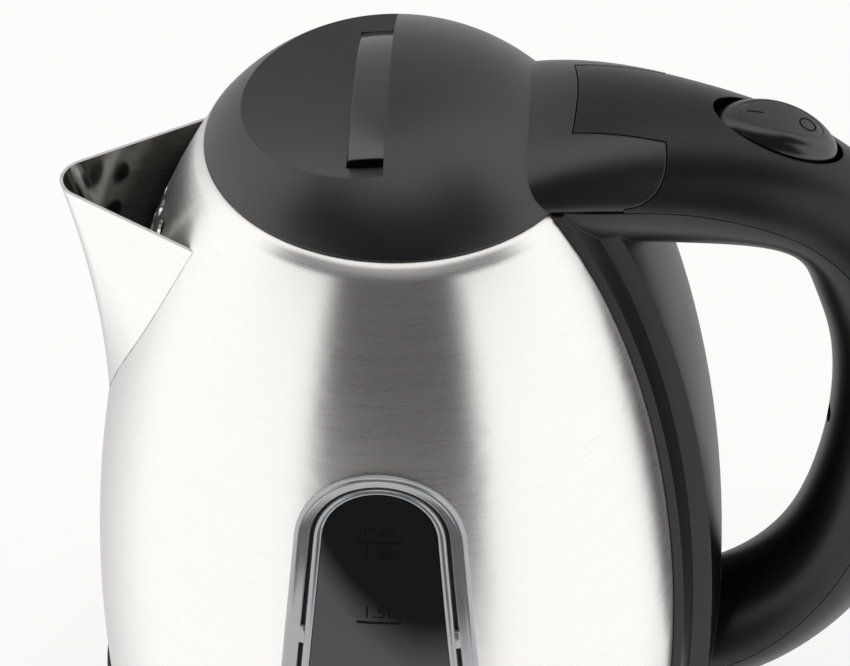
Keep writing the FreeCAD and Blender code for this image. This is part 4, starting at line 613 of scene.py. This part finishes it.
FLOOR_GLOW, FIBRE_MM = 0.8, 3
bpy.ops.object.select_all(action="DESELECT")
bpy.ops.mesh.primitive_plane_add(size=6.0)
floor = bpy.context.object
floor.name = "floor"
floor.visible_glossy = False
paper, tree, place = new_finish("pale_paper")
fibre = add_node(tree, "ShaderNodeTexNoise", {
    "Vector": place, "Scale": 1 / (FIBRE_MM * MM), "Detail": 3.0})
close_finish(tree, fibre.outputs["Fac"], "#f0f0ee", "#f5f5f3", rough=(0.85, 0.95), inputs={})
paper_end = tree.nodes["Material Output"].inputs["Surface"]
glow = add_node(tree, "ShaderNodeEmission", {"Color": linear("#ffffff"), "Strength": 1.0})
floor_seen = add_node(tree, "ShaderNodeLightPath").outputs["Is Camera Ray"]
glow_share = add_node(tree, "ShaderNodeMath", {0: floor_seen, 1: FLOOR_GLOW},
                      operation="MULTIPLY").outputs[0]
lit_paper = add_node(tree, "ShaderNodeMixShader", {
    0: glow_share, 1: paper_end.links[0].from_socket, 2: glow.outputs["Emission"]})
tree.links.new(lit_paper.outputs["Shader"], paper_end)
floor.data.materials.append(paper)

# Studio: white walls all round, a dark card in front that darkens the middle of the steel, and a
# dark hood above it. The camera sees plain white behind the part.
# Directions are level; an edge is a pair of values between which the card or hood fades.

TO_CAMERA, TO_CARD_DIP = (0.0523, -0.9986, 0), (0.309, -0.951, 0)
CARD_SIDE, CARD_TOP, CARD_LOW, CARD_SAG = (0.80, 0.89), (0.92, 0.80), (0.0, 0.08), 0.57
HOOD_SIDE, HOOD_LOW, DARK_LEVEL = (0.15, 0.45), (0.36, 0.46), 0.08
BACK_WALL, BACK_LEVEL = (-0.3, -0.9), 0.5
CEILING, WALL_LEVEL, CEILING_LEVEL = (0.3, 0.7), 1.35, 1.4
world = bpy.data.worlds.new("studio")
bpy.context.scene.world = world
world.use_nodes = True
tree = world.node_tree
tree.nodes.clear()
ray = add_node(tree, "ShaderNodeTexCoord").outputs["Generated"]
height = add_node(tree, "ShaderNodeSeparateXYZ", {"Vector": ray}).outputs["Z"]
flat_ray = add_node(tree, "ShaderNodeVectorMath", {0: ray, 1: (1, 1, 0)},
                    operation="MULTIPLY").outputs[0]
level_ray = add_node(tree, "ShaderNodeVectorMath", {0: flat_ray}, operation="NORMALIZE").outputs[0]
facing = add_node(tree, "ShaderNodeVectorMath", {0: level_ray, 1: TO_CAMERA},
                  operation="DOT_PRODUCT").outputs["Value"]
to_dip = add_node(tree, "ShaderNodeVectorMath", {0: level_ray, 1: TO_CARD_DIP},
                  operation="DOT_PRODUCT").outputs["Value"]

card_side = add_node(tree, "ShaderNodeMapRange", {
    "Value": facing, "From Min": CARD_SIDE[0], "From Max": CARD_SIDE[1]},
    interpolation_type="SMOOTHSTEP").outputs["Result"]
card_top = add_node(tree, "ShaderNodeMapRange", {
    "Value": height, "From Min": CARD_TOP[0], "From Max": CARD_TOP[1]}).outputs["Result"]
card_dip = add_node(tree, "ShaderNodeMath", {0: to_dip, 1: CARD_SAG, 2: height},
                    operation="MULTIPLY_ADD").outputs[0]
card_low = add_node(tree, "ShaderNodeMapRange", {
    "Value": card_dip, "From Min": CARD_LOW[0], "From Max": CARD_LOW[1]}).outputs["Result"]
card_column = add_node(tree, "ShaderNodeMath", {0: card_side, 1: card_top},
                       operation="MULTIPLY").outputs[0]
card = add_node(tree, "ShaderNodeMath", {0: card_column, 1: card_low},
                operation="MULTIPLY").outputs[0]

hood_side = add_node(tree, "ShaderNodeMapRange", {
    "Value": facing, "From Min": HOOD_SIDE[0], "From Max": HOOD_SIDE[1]},
    interpolation_type="SMOOTHSTEP").outputs["Result"]
hood_low = add_node(tree, "ShaderNodeMapRange", {
    "Value": height, "From Min": HOOD_LOW[0], "From Max": HOOD_LOW[1]}).outputs["Result"]
hood_column = add_node(tree, "ShaderNodeMath", {0: hood_side, 1: card_top},
                       operation="MULTIPLY").outputs[0]
hood = add_node(tree, "ShaderNodeMath", {0: hood_column, 1: hood_low},
                operation="MULTIPLY").outputs[0]

covered = add_node(tree, "ShaderNodeMath", {0: card, 1: hood}, operation="MAXIMUM").outputs[0]
front = add_node(tree, "ShaderNodeMapRange", {
    "Value": covered, "To Min": 1.0, "To Max": DARK_LEVEL}).outputs["Result"]
back = add_node(tree, "ShaderNodeMapRange", {
    "Value": facing, "From Min": BACK_WALL[0], "From Max": BACK_WALL[1], "To Min": 1.0,
    "To Max": BACK_LEVEL}).outputs["Result"]
walls = add_node(tree, "ShaderNodeMapRange", {
    "Value": height, "From Min": CEILING[0], "From Max": CEILING[1], "To Min": WALL_LEVEL,
    "To Max": CEILING_LEVEL}).outputs["Result"]
shaded = add_node(tree, "ShaderNodeMath", {0: front, 1: back}, operation="MULTIPLY").outputs[0]
studio = add_node(tree, "ShaderNodeMath", {0: shaded, 1: walls}, operation="MULTIPLY").outputs[0]
world_seen = add_node(tree, "ShaderNodeLightPath").outputs["Is Camera Ray"]
strength = add_node(tree, "ShaderNodeMix", {
    "Factor": world_seen, "A": studio, "B": 1.0}).outputs["Result"]
sky = add_node(tree, "ShaderNodeBackground", {"Color": linear("#ffffff"), "Strength": strength})
add_node(tree, "ShaderNodeOutputWorld", {"Surface": sky.outputs["Background"]})
bpy.context.scene.view_settings.view_transform = "Standard"

# Lamp: one large soft box above and a little to the left, for a faint shadow under the part.
# It is left out of mirror images, as the walls already stand there.

lamp_data = bpy.data.lights.new("soft_box", type="AREA")
lamp_data.size = 1.2
lamp_data.energy = 3.0
lamp = bpy.data.objects.new("soft_box", lamp_data)
bpy.context.scene.collection.objects.link(lamp)
lamp.location = (-0.35, -0.25, 1.45)
lamp.rotation_euler = (-lamp.location).to_track_quat("-Z", "Y").to_euler()
lamp.visible_glossy = False

# Camera: at the photograph's place, 41 degrees above the table, with a long lens.
# It aims at the upper half of the vessel, so the base lies below the picture.

CAMERA_PLACE, CAMERA_AIM = Vector((41.6, -659.5, 722.2)), Vector((7.0, 0.4, 144.8))
camera_data = bpy.data.cameras.new("camera")
camera_data.lens = 149.46
camera_data.sensor_width = 36.0
camera = bpy.data.objects.new("camera", camera_data)
bpy.context.scene.collection.objects.link(camera)
camera.location = CAMERA_PLACE * MM
camera.rotation_euler = (CAMERA_AIM - CAMERA_PLACE).to_track_quat("-Z", "Y").to_euler()
bpy.context.scene.camera = camera
